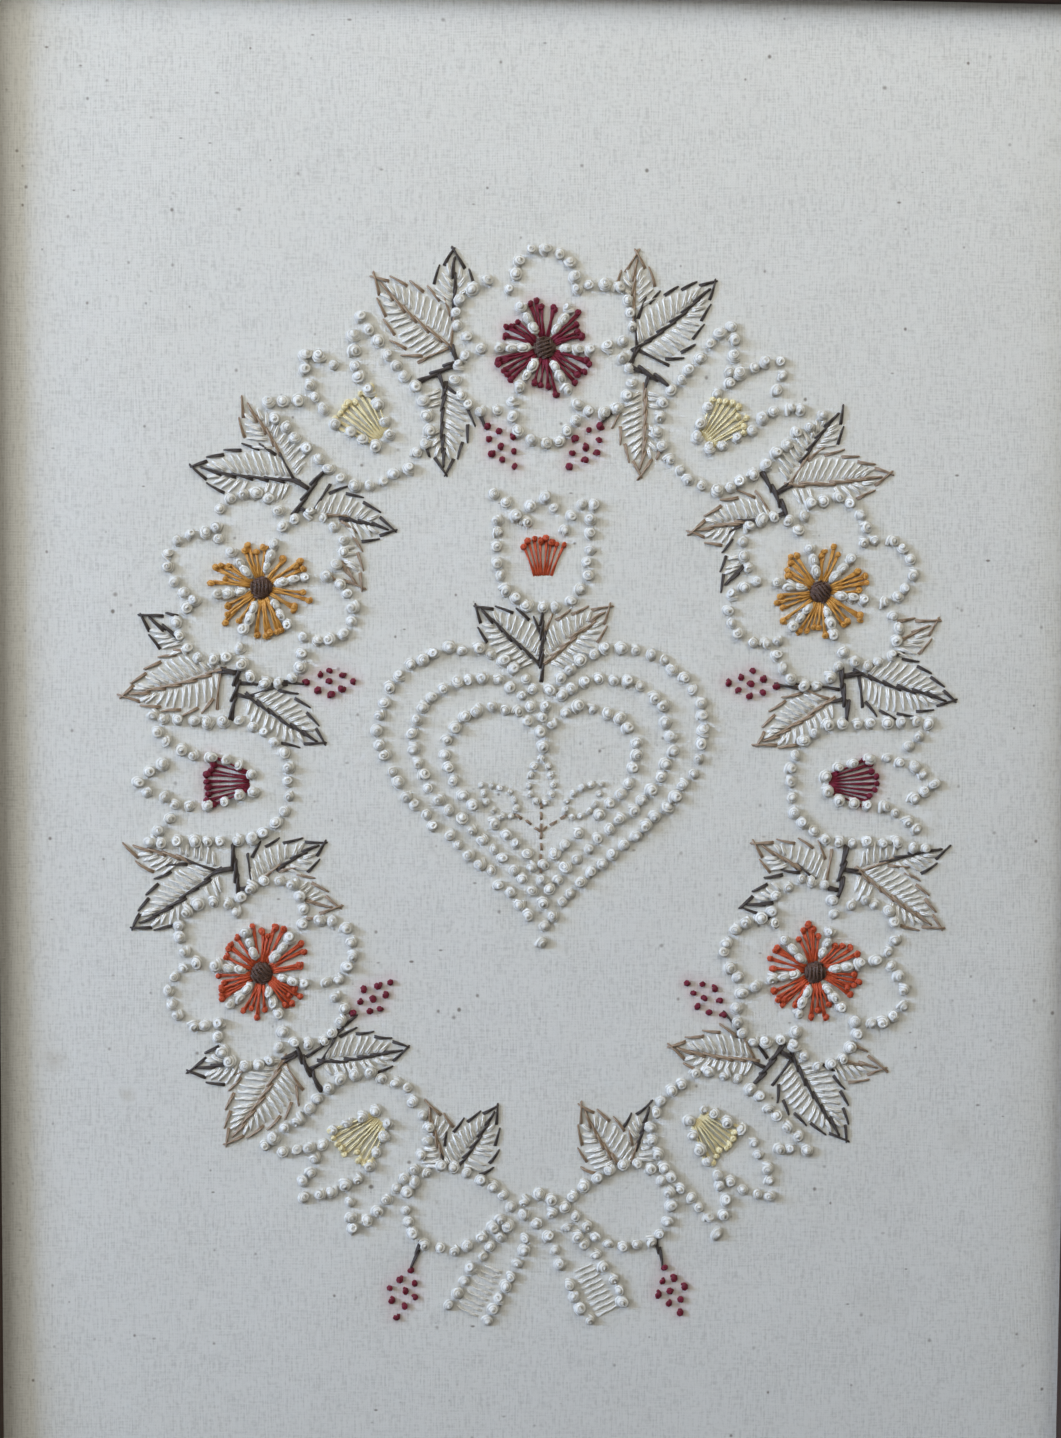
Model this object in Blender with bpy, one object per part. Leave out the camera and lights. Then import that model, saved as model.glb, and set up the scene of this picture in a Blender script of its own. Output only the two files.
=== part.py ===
"""Framed candlewick embroidery: a muslin sheet with raised knot rows, held in a mitred wooden frame.

It lies on its back. +Z comes out of the picture, +Y is the picture's top, and the origin is the
middle of the frame's back. Sizes are in metres.
"""

from collections import namedtuple
from math import atan2, cos, pi, sin

import bmesh
import bpy
import numpy as np
from mathutils.geometry import delaunay_2d_cdt

# Driving dimensions
SIGHT_WIDTH = 0.305
SIGHT_HEIGHT = 0.432
RAIL_FACE = 0.028
RAIL_DEPTH = 0.020
PIECE_GAP = 0.0003

# Moulding of a rail, seen in its cross-section
OUTER_EDGE_HEIGHT = 0.013
CREST_INSET = 0.008
LIP_TOP = 0.0165
LIP_ROUND = 0.0015
RABBET_WIDTH = 0.006
RABBET_DEPTH = 0.009
ROUND_STEPS = 6
SLOPE_STEPS = 9

# Cloth and board in the rabbet
CLOTH_THICKNESS = 0.002
CLOTH_SIDE_CLEARANCE = 0.0008
BOARD_THICKNESS = 0.003
BOARD_SIDE_CLEARANCE = 0.0005

# Stitching raised in the cloth's front: knot rows, filled leaves and padded daisy centres
ROW_HEIGHT = 0.0019
ROW_HALF_WIDTH = 0.0018
ROW_STEP = 0.0050
FOOT_CLEARANCE = 0.88
LEAF_RISE = 0.0007
LEAF_STEPS = 7
LEAF_FULLNESS = 0.8
CENTRE_RISE = 0.0008
CENTRE_RADIUS = 0.0032
CENTRE_SHOULDER = 0.65
CENTRE_SIDES = 8
POINT_SPACING = 0.0009
MERGE_DISTANCE = 1e-6
SHEET_EDGE_STEP = 0.045

# Layout of the wreath: an upright oval that holds equally spaced stations
WREATH_CENTRE = (0.0, -0.004)
WREATH_HALF_WIDTH = 0.088
WREATH_HALF_HEIGHT = 0.122
STATIONS = 12
DAISY_STATIONS = (0, 2, 4, 8, 10)
TULIP_STATIONS = (1, 3, 5, 7, 9, 11)
BOW_STATION = 6

# Motifs
DAISY_RADIUS = 0.027
DAISY_PETALS = 6
DAISY_NOTCH = 0.60
DAISY_ROUNDNESS = 0.55
TULIP_WIDTH = 0.034
TULIP_HEIGHT = 0.042
TULIP_OUTSET = 0.004
MIDDLE_TULIP_SHARE = 0.78
MIDDLE_TULIP_CENTRE = (0.0, 0.062)
HEART_CENTRE = (0.0, -0.006)
HEART_WIDTHS = (0.092, 0.073, 0.054)
BOW_REACH = 0.033
BOW_RISE = 0.034
BOW_KNOT_RADIUS = 0.0035
BOW_END_EDGES = (
    ((0.002, -0.005), (0.006, -0.018), (0.015, -0.034)),
    ((0.005, -0.003), (0.015, -0.010), (0.026, -0.029)),
)
WREATH_STEPS = 3840
OUTLINE_STEPS = 576
RING_STEPS = 96
BEND_STEPS = 12

# Leaves grow between two stations. Each row is a leaf's start beyond the wreath's line, its turn
# from the way it grows, its length and its width. Turns are mirrored on the wreath's left half.
FULL_GAPS = (1, 3, 8, 10)
BOW_GAPS = (5, 6)
OUTER_LEAVES = ((0.005, 0.50, 0.029, 0.0135), (0.005, -0.50, 0.027, 0.0130))
INNER_LEAVES = ((0.004, -0.48, 0.025, 0.0125),)
SECOND_INNER_LEAVES = ((0.004, 0.48, 0.024, 0.0125),)
BOW_LEAVES = ((0.004, -0.25, 0.024, 0.0120), (0.004, 0.75, 0.022, 0.0115))
HEART_LEAF_START = (0.001, 0.030)
HEART_LEAF_TURN = 0.85
HEART_LEAF_SIZE = (0.024, 0.0125)

Leaf = namedtuple("Leaf", "base angle length width")

OUTER_WIDTH = SIGHT_WIDTH + 2 * RAIL_FACE
OUTER_HEIGHT = SIGHT_HEIGHT + 2 * RAIL_FACE
CLOTH_TOP = RABBET_DEPTH - PIECE_GAP
CLOTH_BACK = CLOTH_TOP - CLOTH_THICKNESS
BOARD_TOP = CLOTH_BACK - PIECE_GAP


def clear_scene():
    for obj in list(bpy.data.objects):
        bpy.data.objects.remove(obj)


def make_material(name, colour, roughness):
    material = bpy.data.materials.new(name)
    material.use_nodes = True
    shader = material.node_tree.nodes["Principled BSDF"]
    shader.inputs["Base Color"].default_value = (*colour, 1.0)
    shader.inputs["Roughness"].default_value = roughness
    shader.inputs["Metallic"].default_value = 0.0
    material.diffuse_color = (*colour, 1.0)
    return material


def make_object(name, mesh, material, collection):
    obj = bpy.data.objects.new(name, mesh)
    obj.data.materials.append(material)
    collection.objects.link(obj)
    return obj


# Points of the embroidery, in the plane of the cloth


def placed(points, centre, turn=0.0):
    """Points turned clockwise by an angle from the picture's top, then moved to a centre."""
    c, s = cos(turn), sin(turn)
    return np.asarray(points) @ np.array([[c, -s], [s, c]]) + np.asarray(centre)


def bend(start, pull, end):
    """A soft arc from start to end, drawn towards pull, without its last point."""
    t = np.linspace(0, 1, BEND_STEPS, endpoint=False)[:, None]
    return (1 - t) ** 2 * np.array(start) + 2 * t * (1 - t) * np.array(pull) + t * t * np.array(end)


def along_wreath(share):
    """(point, outward angle) at a share of the way along the wreath, clockwise from its top."""
    angle = np.linspace(0, 2 * pi, WREATH_STEPS + 1)
    x, y = WREATH_HALF_WIDTH * np.sin(angle), WREATH_HALF_HEIGHT * np.cos(angle)
    along = np.concatenate([[0], np.cumsum(np.hypot(np.diff(x), np.diff(y)))])
    a = np.interp(share * along[-1], along, angle)
    point = np.array([WREATH_HALF_WIDTH * sin(a), WREATH_HALF_HEIGHT * cos(a)])
    outward = atan2(WREATH_HALF_HEIGHT * sin(a), WREATH_HALF_WIDTH * cos(a))
    return point + np.array(WREATH_CENTRE), outward


def daisy_outline():
    """Closed row of round petals with a notch between each two."""
    angle = np.linspace(0, 2 * pi, OUTLINE_STEPS, endpoint=False)
    swell = np.abs(np.cos(DAISY_PETALS * angle / 2)) ** DAISY_ROUNDNESS
    radius = DAISY_RADIUS * (DAISY_NOTCH + (1 - DAISY_NOTCH) * swell)
    return np.stack([radius * np.sin(angle), radius * np.cos(angle)], axis=1)


def tulip_outline(width, height):
    """Closed row of a cup with two flared side tips and a middle tip."""
    foot, side = (0.0, -0.50 * height), (0.50 * width, -0.02 * height)
    tip, dip, crown = (0.56 * width, 0.46 * height), (0.21 * width, 0.14 * height), (0.0, 0.50 * height)
    right = np.vstack(
        [
            bend(foot, (0.52 * width, -0.50 * height), side),
            bend(side, (0.49 * width, 0.22 * height), tip),
            bend(tip, (0.30 * width, 0.36 * height), dip),
            bend(dip, (0.15 * width, 0.38 * height), crown),
            [crown],
        ]
    )
    return np.vstack([right, right[-2:0:-1] * [-1, 1]])


def tulip_fold(width, height, side):
    """Open row from a dip between two tips down the middle petal's edge."""
    dip, foot = (side * 0.21 * width, 0.14 * height), (side * 0.07 * width, -0.26 * height)
    return np.vstack([bend(dip, (side * 0.20 * width, -0.10 * height), foot), [foot]])


def heart_outline(width):
    """Closed row of a heart, its cleft up: the classic heart curve, which is 32 units wide."""
    t = np.linspace(0, 2 * pi, OUTLINE_STEPS, endpoint=False)
    x = 16 * np.sin(t) ** 3
    y = 13 * np.cos(t) - 5 * np.cos(2 * t) - 2 * np.cos(3 * t) - np.cos(4 * t)
    return np.stack([x, y + 2], axis=1) * width / 32


def bow_rows():
    """(points, closed) of a bow: a knot, two loops and two ribbon ends with two edges each."""
    circle = np.linspace(0, 2 * pi, RING_STEPS, endpoint=False)
    rows = [(BOW_KNOT_RADIUS * np.stack([np.sin(circle), np.cos(circle)], axis=1), True)]
    angle = np.linspace(-pi / 4, pi / 4, RING_STEPS, endpoint=False)
    swell = np.sqrt(np.clip(np.cos(2 * angle), 0, None))
    loop = np.stack([BOW_REACH * swell * np.cos(angle), BOW_RISE * swell * np.sin(angle)], axis=1)
    for side in (-1, 1):
        rows.append(((loop + (BOW_KNOT_RADIUS, 0)) * (side, 1), True))
        rows += [(bend(*edge) * (side, 1), False) for edge in BOW_END_EDGES]
    return rows


def knot_rows():
    """(points, closed) of every long row of knots in the embroidery."""
    rows = []
    for k in DAISY_STATIONS:
        point, outward = along_wreath(k / STATIONS)
        rows.append((placed(daisy_outline(), point, outward), True))
    for k in TULIP_STATIONS:
        point, outward = along_wreath(k / STATIONS)
        centre = point + TULIP_OUTSET * np.array([sin(outward), cos(outward)])
        rows.append((placed(tulip_outline(TULIP_WIDTH, TULIP_HEIGHT), centre, outward), True))
        for side in (-1, 1):
            rows.append((placed(tulip_fold(TULIP_WIDTH, TULIP_HEIGHT, side), centre, outward), False))
    small = (TULIP_WIDTH * MIDDLE_TULIP_SHARE, TULIP_HEIGHT * MIDDLE_TULIP_SHARE)
    rows.append((placed(tulip_outline(*small), MIDDLE_TULIP_CENTRE), True))
    for width in HEART_WIDTHS:
        rows.append((placed(heart_outline(width), HEART_CENTRE), True))
    bow_centre = along_wreath(BOW_STATION / STATIONS)[0]
    rows += [(placed(points, bow_centre), closed) for points, closed in bow_rows()]
    return rows


def leaves():
    """Every leaf of the wreath, and the pair over the heart."""
    found = []
    for gap in range(STATIONS):
        point, outward = along_wreath((gap + 0.5) / STATIONS)
        mirrored = 1 if gap < STATIONS / 2 else -1
        if gap in BOW_GAPS:
            groups = ((BOW_LEAVES, outward + pi),)
        else:
            inner = INNER_LEAVES + (SECOND_INNER_LEAVES if gap in FULL_GAPS else ())
            groups = ((OUTER_LEAVES, outward), (inner, outward + pi))
        for table, growing in groups:
            for start, turn, length, width in table:
                base = point + start * np.array([sin(growing), cos(growing)])
                found.append(Leaf(base, growing + mirrored * turn, length, width))
    for side in (-1, 1):
        base = np.array(HEART_LEAF_START) * (side, 1)
        found.append(Leaf(base, side * HEART_LEAF_TURN, *HEART_LEAF_SIZE))
    return found


def evenly(points, closed, step):
    """The row's points about one step apart."""
    if closed:
        points = np.vstack([points, points[:1]])
    lengths = np.hypot(*np.diff(points, axis=0).T)
    along = np.concatenate([[0], np.cumsum(lengths)])
    count = max(2, round(along[-1] / step))
    at = np.linspace(0, along[-1], count + 1)
    even = np.stack([np.interp(at, along, points[:, i]) for i in (0, 1)], axis=1)
    return even[:-1] if closed else even


# Cloth


def segments_of(rows):
    """(starts, ends) of the straight stretches of all rows."""
    starts = np.vstack([p if closed else p[:-1] for p, closed in rows])
    ends = np.vstack([np.roll(p, -1, axis=0) if closed else p[1:] for p, closed in rows])
    return starts, ends


def distance_to_rows(points, segments):
    """Each point's distance to the nearest row."""
    starts, ends = segments
    run = ends - starts
    offset = points[:, None, :] - starts[None]
    t = np.clip((offset * run).sum(axis=2) / (run * run).sum(axis=1), 0, 1)
    return np.linalg.norm(offset - t[:, :, None] * run, axis=2).min(axis=1)


def inside_rows(points, rows):
    """Whether each point lies inside a closed row, where nothing behind it shows."""
    hidden = np.zeros(len(points), bool)
    x, y = points[:, :1], points[:, 1:]
    for row, closed in rows:
        if not closed:
            continue
        a, b = row, np.roll(row, -1, axis=0)
        spans = (a[:, 1] > y) != (b[:, 1] > y)
        slope = (b[:, 0] - a[:, 0]) / np.where(b[:, 1] == a[:, 1], 1, b[:, 1] - a[:, 1])
        crossed = spans & (x < a[:, 0] + slope * (y - a[:, 1]))
        hidden |= crossed.sum(axis=1) % 2 == 1
    return hidden


def leaf_half_width(leaf, along):
    """Half of a leaf's width at shares of its length, rounder near the stem."""
    return leaf.width / 2 * np.sin(pi * np.clip(along, 0, 1) ** LEAF_FULLNESS) ** LEAF_FULLNESS


def leaf_lines(leaf):
    """(points, closed) of a leaf's outline and of its midrib."""
    along = np.linspace(0, 1, LEAF_STEPS)
    across = leaf_half_width(leaf, along)
    right = np.stack([across, along * leaf.length], axis=1)
    outline = np.vstack([right, right[-2:0:-1] * [-1, 1]])
    rib = np.stack([np.zeros(LEAF_STEPS - 2), along[1:-1] * leaf.length], axis=1)
    return [(placed(outline, leaf.base, leaf.angle), True), (placed(rib, leaf.base, leaf.angle), False)]


def leaf_share(points, leaf):
    """1 on a leaf's midrib, falling evenly to 0 at its outline."""
    way = np.array([sin(leaf.angle), cos(leaf.angle)])
    along = (points - leaf.base) @ way / leaf.length
    across = np.abs((points - leaf.base) @ np.array([way[1], -way[0]]))
    half = leaf_half_width(leaf, along)
    share = 1 - across / np.maximum(half, MERGE_DISTANCE)
    return np.where(half > MERGE_DISTANCE, np.clip(share, 0, 1), 0)


def centre_rings(centre):
    """The foot and the shoulder of a padded daisy centre, both closed."""
    angle = np.linspace(0, 2 * pi, CENTRE_SIDES, endpoint=False)
    ring = CENTRE_RADIUS * np.stack([np.sin(angle), np.cos(angle)], axis=1)
    return [(ring * share + centre, True) for share in (1, CENTRE_SHOULDER)]


def ridge_feet(points, closed):
    """The closed lines at the feet of a row's ridge: two along a closed row, one round an open one."""
    if closed:
        run = np.roll(points, -1, axis=0) - np.roll(points, 1, axis=0)
    else:
        run = np.gradient(points, axis=0)
    run *= ROW_HALF_WIDTH / np.linalg.norm(run, axis=1)[:, None]
    normal = run[:, ::-1] * (1, -1)
    if closed:
        return [(points + normal, True), (points - normal, True)]
    end, start = [points[-1] + run[-1]], [points[0] - run[0]]
    return [(np.vstack([points + normal, end, (points - normal)[::-1], start]), True)]


def cloth_outline(width, height):
    """Points around the sheet's edge, corners among them."""
    x = np.linspace(-width / 2, width / 2, round(width / SHEET_EDGE_STEP) + 1)
    y = np.linspace(-height / 2, height / 2, round(height / SHEET_EDGE_STEP) + 1)
    bottom = [(a, -height / 2) for a in x[:-1]]
    right = [(width / 2, b) for b in y[:-1]]
    half = np.array(bottom + right)
    return np.vstack([half, -half])


def relief(points, rows, leaf_list, centres):
    """Height of the stitching over the bare cloth at each point."""
    share = 1 - distance_to_rows(points, segments_of(rows)) / ROW_HALF_WIDTH
    height = ROW_HEIGHT * np.clip(share, 0, 1)
    shown = ~inside_rows(points, rows)
    for leaf in leaf_list:
        height = np.maximum(height, LEAF_RISE * shown * leaf_share(points, leaf))
    for centre in centres:
        inset = 1 - np.linalg.norm(points - centre, axis=1) / CENTRE_RADIUS
        height = np.maximum(height, CENTRE_RISE * np.clip(inset / (1 - CENTRE_SHOULDER), 0, 1))
    return height


def cloth_plan(outline, rows, leaf_list, centres):
    """(points, triangles) of the sheet's front, cut along the rows, the leaves and their feet."""
    segments = segments_of(rows)
    feet = [line for row in rows for line in ridge_feet(*row)]
    leaf_edges = [line for leaf in leaf_list for line in leaf_lines(leaf)]
    rings = [line for centre in centres for line in centre_rings(centre)]
    points = [tuple(p) for p in outline]
    edges = [(i, (i + 1) % len(points)) for i in range(len(points))]
    kept = np.array(outline)
    for lines in (rows, feet, leaf_edges, rings):
        for line, closed in lines:
            allowed = np.ones(len(line), bool)
            if lines is not rows:
                allowed = distance_to_rows(line, segments) > FOOT_CLEARANCE * ROW_HALF_WIDTH
            if lines is leaf_edges:
                allowed &= ~inside_rows(line, rows)
            index = []
            for point, wanted in zip(line, allowed):
                if not wanted or np.hypot(*(kept - point).T).min() < POINT_SPACING:
                    index.append(None)
                    continue
                index.append(len(points))
                points.append(tuple(point))
                kept = np.vstack([kept, point])
            pairs = zip(index, index[1:] + index[:1] if closed else index[1:])
            edges += [pair for pair in pairs if None not in pair]
    plan, _, faces, *_ = delaunay_2d_cdt(points, edges, [], 0, MERGE_DISTANCE, False)
    return np.array([tuple(p) for p in plan]), faces


def make_cloth(material, collection):
    width = SIGHT_WIDTH + 2 * (RABBET_WIDTH - CLOTH_SIDE_CLEARANCE)
    height = SIGHT_HEIGHT + 2 * (RABBET_WIDTH - CLOTH_SIDE_CLEARANCE)
    rows = [(evenly(points, closed, ROW_STEP), closed) for points, closed in knot_rows()]
    centres = [along_wreath(k / STATIONS)[0] for k in DAISY_STATIONS]
    plan, faces = cloth_plan(cloth_outline(width, height), rows, leaves(), centres)
    heights = CLOTH_THICKNESS + relief(plan, rows, leaves(), centres)
    bm = bmesh.new()
    front = [bm.verts.new((x, y, z)) for (x, y), z in zip(plan, heights)]
    for face in faces:
        bm.faces.new([front[i] for i in face])
    rim = [edge for edge in bm.edges if edge.is_boundary]
    walls = bmesh.ops.extrude_edge_only(bm, edges=rim)["geom"]
    for vert in walls:
        if isinstance(vert, bmesh.types.BMVert):
            vert.co.z = 0
    back_rim = [e for e in walls if isinstance(e, bmesh.types.BMEdge) and e.is_boundary]
    bmesh.ops.contextual_create(bm, geom=back_rim)
    bmesh.ops.recalc_face_normals(bm, faces=bm.faces)
    mesh = bpy.data.meshes.new("cloth")
    bm.to_mesh(mesh)
    bm.free()
    cloth = make_object("cloth", mesh, material, collection)
    cloth.location.z = CLOTH_BACK
    return cloth


# Frame


def arc(centre, radius, start, end):
    """Points on a circle from one angle to another, both included."""
    angle = np.linspace(start, end, ROUND_STEPS + 1)
    return [(centre[0] + radius * cos(a), centre[1] + radius * sin(a)) for a in angle]


def moulding_profile():
    """Cross-section of a rail as (distance from the outer edge, height), once round."""
    back = RAIL_FACE - RABBET_WIDTH
    crown = RAIL_DEPTH - OUTER_EDGE_HEIGHT
    shoulder = [
        (CREST_INSET * (1 - cos(a)), OUTER_EDGE_HEIGHT + crown * sin(a))
        for a in np.linspace(0, pi / 2, ROUND_STEPS + 1)
    ]
    fall = RAIL_DEPTH - LIP_TOP
    reach = RAIL_FACE - LIP_ROUND - CREST_INSET
    slope = [
        (CREST_INSET + reach * t, RAIL_DEPTH - fall * (1 - cos(pi * t)) / 2)
        for t in np.linspace(0, 1, SLOPE_STEPS)[1:-1]
    ]
    lip = arc((RAIL_FACE - LIP_ROUND, LIP_TOP - LIP_ROUND), LIP_ROUND, pi / 2, 0)
    inside = [(RAIL_FACE, RABBET_DEPTH), (back, RABBET_DEPTH), (back, 0)]
    return [(0, 0)] + shoulder + slope + lip + inside


def make_rail(name, length, material, collection):
    """A rail along X, its outer edge on the X axis and its face towards +Y, mitred at both ends."""
    bm = bmesh.new()
    end = bm.faces.new([bm.verts.new((0, inset, height)) for inset, height in moulding_profile()])
    grown = bmesh.ops.extrude_face_region(bm, geom=[end])["geom"]
    far_end = {v for v in grown if isinstance(v, bmesh.types.BMVert)}
    mitre_gap = PIECE_GAP / 2 * 2**0.5
    for vert in bm.verts:
        half = length / 2 - vert.co.y - mitre_gap
        vert.co.x = half if vert in far_end else -half
    bmesh.ops.recalc_face_normals(bm, faces=bm.faces)
    mesh = bpy.data.meshes.new(name)
    bm.to_mesh(mesh)
    bm.free()
    return make_object(name, mesh, material, collection)


def make_frame(material, collection):
    """Four rails round the sight opening, turned so that each one's rabbet faces the middle."""
    table = (
        # name, length, x, y, turn
        ("frame_bottom", OUTER_WIDTH, 0, -OUTER_HEIGHT / 2, 0),
        ("frame_right", OUTER_HEIGHT, OUTER_WIDTH / 2, 0, pi / 2),
        ("frame_top", OUTER_WIDTH, 0, OUTER_HEIGHT / 2, pi),
        ("frame_left", OUTER_HEIGHT, -OUTER_WIDTH / 2, 0, -pi / 2),
    )
    for name, length, x, y, turn in table:
        rail = make_rail(name, length, material, collection)
        rail.location = (x, y, 0)
        rail.rotation_euler.z = turn


def make_backing_board(material, collection):
    width = SIGHT_WIDTH + 2 * (RABBET_WIDTH - BOARD_SIDE_CLEARANCE)
    height = SIGHT_HEIGHT + 2 * (RABBET_WIDTH - BOARD_SIDE_CLEARANCE)
    bm = bmesh.new()
    bmesh.ops.create_cube(bm, size=1)
    bmesh.ops.scale(bm, vec=(width, height, BOARD_THICKNESS), verts=bm.verts)
    mesh = bpy.data.meshes.new("backing_board")
    bm.to_mesh(mesh)
    bm.free()
    board = make_object("backing_board", mesh, material, collection)
    board.location.z = BOARD_TOP - BOARD_THICKNESS / 2
    return board


def main():
    clear_scene()
    collection = bpy.data.collections.new("framed_candlewick_embroidery")
    bpy.context.scene.collection.children.link(collection)
    muslin = make_material("muslin", (0.66, 0.66, 0.62), 0.9)
    stained_wood = make_material("stained_wood", (0.045, 0.022, 0.016), 0.4)
    hardboard = make_material("hardboard", (0.24, 0.15, 0.09), 0.8)
    make_cloth(muslin, collection)
    make_frame(stained_wood, collection)
    make_backing_board(hardboard, collection)


main()
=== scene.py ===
"""Looks of a framed candlewick embroidery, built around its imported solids.

A sheet of unbleached muslin lies stretched in a dark stained frame. It is worked with candlewicking
knots, straight stitches and stem stitches, laid out as a wreath of daisies and tulips round nested
hearts. Sizes are in metres. +Z comes out of the picture, +Y is its top, and the frame's back is at zero.
"""

from __future__ import annotations

import logging
from dataclasses import dataclass, field
from enum import Enum
from itertools import groupby
from math import atan2, cos, hypot, pi, radians, sin
from typing import Any, NamedTuple

import bmesh
import bpy
import numpy as np
from mathutils import Matrix, Vector, noise
from mathutils.kdtree import KDTree

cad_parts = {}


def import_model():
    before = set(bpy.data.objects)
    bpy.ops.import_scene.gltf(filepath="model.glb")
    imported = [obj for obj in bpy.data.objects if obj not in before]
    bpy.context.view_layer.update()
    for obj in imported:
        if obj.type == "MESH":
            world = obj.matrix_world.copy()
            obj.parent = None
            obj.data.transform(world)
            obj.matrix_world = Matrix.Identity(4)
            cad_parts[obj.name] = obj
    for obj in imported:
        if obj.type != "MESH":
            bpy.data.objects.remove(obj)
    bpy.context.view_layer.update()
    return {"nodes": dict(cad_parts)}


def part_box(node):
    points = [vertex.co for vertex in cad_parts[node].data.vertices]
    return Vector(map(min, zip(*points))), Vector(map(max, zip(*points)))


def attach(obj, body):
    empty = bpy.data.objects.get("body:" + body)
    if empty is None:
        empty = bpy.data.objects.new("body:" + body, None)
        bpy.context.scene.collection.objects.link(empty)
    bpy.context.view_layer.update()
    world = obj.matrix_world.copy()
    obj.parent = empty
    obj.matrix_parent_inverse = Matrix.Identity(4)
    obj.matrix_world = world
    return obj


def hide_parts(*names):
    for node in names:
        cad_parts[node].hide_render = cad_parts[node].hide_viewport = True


LOG = logging.getLogger("embroidery")
BODY = "root"
RING_STEPS = 96
FINE_RING_STEPS = 576

Colour = tuple[float, float, float]
Pair = tuple[float, float]
Triple = tuple[float, float, float]
Arc = tuple[Pair, Pair, Pair]
Line = tuple[np.ndarray, np.ndarray]
LeafTable = tuple[tuple[float, float, float, float], ...]


class Yarn(Enum):
    """The threads of the embroidery, named for their pieces."""

    CANDLEWICK = "white_cotton"
    WHITE = "white_floss"
    TAN = "tan_floss"
    BROWN = "brown_floss"
    CENTRE = "centre_floss"
    CRIMSON = "crimson_floss"
    ORANGE = "orange_floss"
    GOLD = "gold_floss"
    YELLOW = "pale_yellow_floss"


class Signal:
    """A number on a wire between nodes, on which Python's operators add Math nodes."""

    def __init__(self, writer: NodeWriter, socket: bpy.types.NodeSocket) -> None:
        """Wraps a node's output socket."""
        self.writer = writer
        self.socket = socket

    def math(self, operation: str, *terms: Signal | float) -> Signal:
        """Adds a Math node.

        Args:
            operation: The Math node's operation.
            terms: Its inputs, in order.

        Returns:
            The node's result.
        """
        node = self.writer.add("ShaderNodeMath", {"operation": operation}, dict(enumerate(terms)))
        return Signal(self.writer, node.outputs[0])

    def __add__(self, other: Signal | float) -> Signal:
        """The sum."""
        return self.math("ADD", self, other)

    def __radd__(self, other: float) -> Signal:
        """The sum, from the right."""
        return self.math("ADD", other, self)

    def __sub__(self, other: Signal | float) -> Signal:
        """The difference."""
        return self.math("SUBTRACT", self, other)

    def __rsub__(self, other: float) -> Signal:
        """The difference, from the right."""
        return self.math("SUBTRACT", other, self)

    def __mul__(self, other: Signal | float) -> Signal:
        """The product."""
        return self.math("MULTIPLY", self, other)

    def __truediv__(self, other: Signal | float) -> Signal:
        """The quotient."""
        return self.math("DIVIDE", self, other)

    def __pow__(self, other: Signal | float) -> Signal:
        """The power."""
        return self.math("POWER", self, other)

    def __abs__(self) -> Signal:
        """The size without its sign."""
        return self.math("ABSOLUTE", self)

    def sine(self) -> Signal:
        """The sine of an angle in radians."""
        return self.math("SINE", self)

    def cosine(self) -> Signal:
        """The cosine of an angle in radians."""
        return self.math("COSINE", self)

    def between(self, low: float, high: float) -> Signal:
        """Rises smoothly from 0 at low to 1 at high.

        Args:
            low: Where the result leaves 0. It may lie above high, and the result then falls.
            high: Where the result reaches 1.

        Returns:
            The share, from 0 to 1.
        """
        settings = {"interpolation_type": "SMOOTHSTEP"}
        sockets = {"Value": self, "From Min": low, "From Max": high}
        node = self.writer.add("ShaderNodeMapRange", settings, sockets)
        return Signal(self.writer, node.outputs[0])


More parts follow.
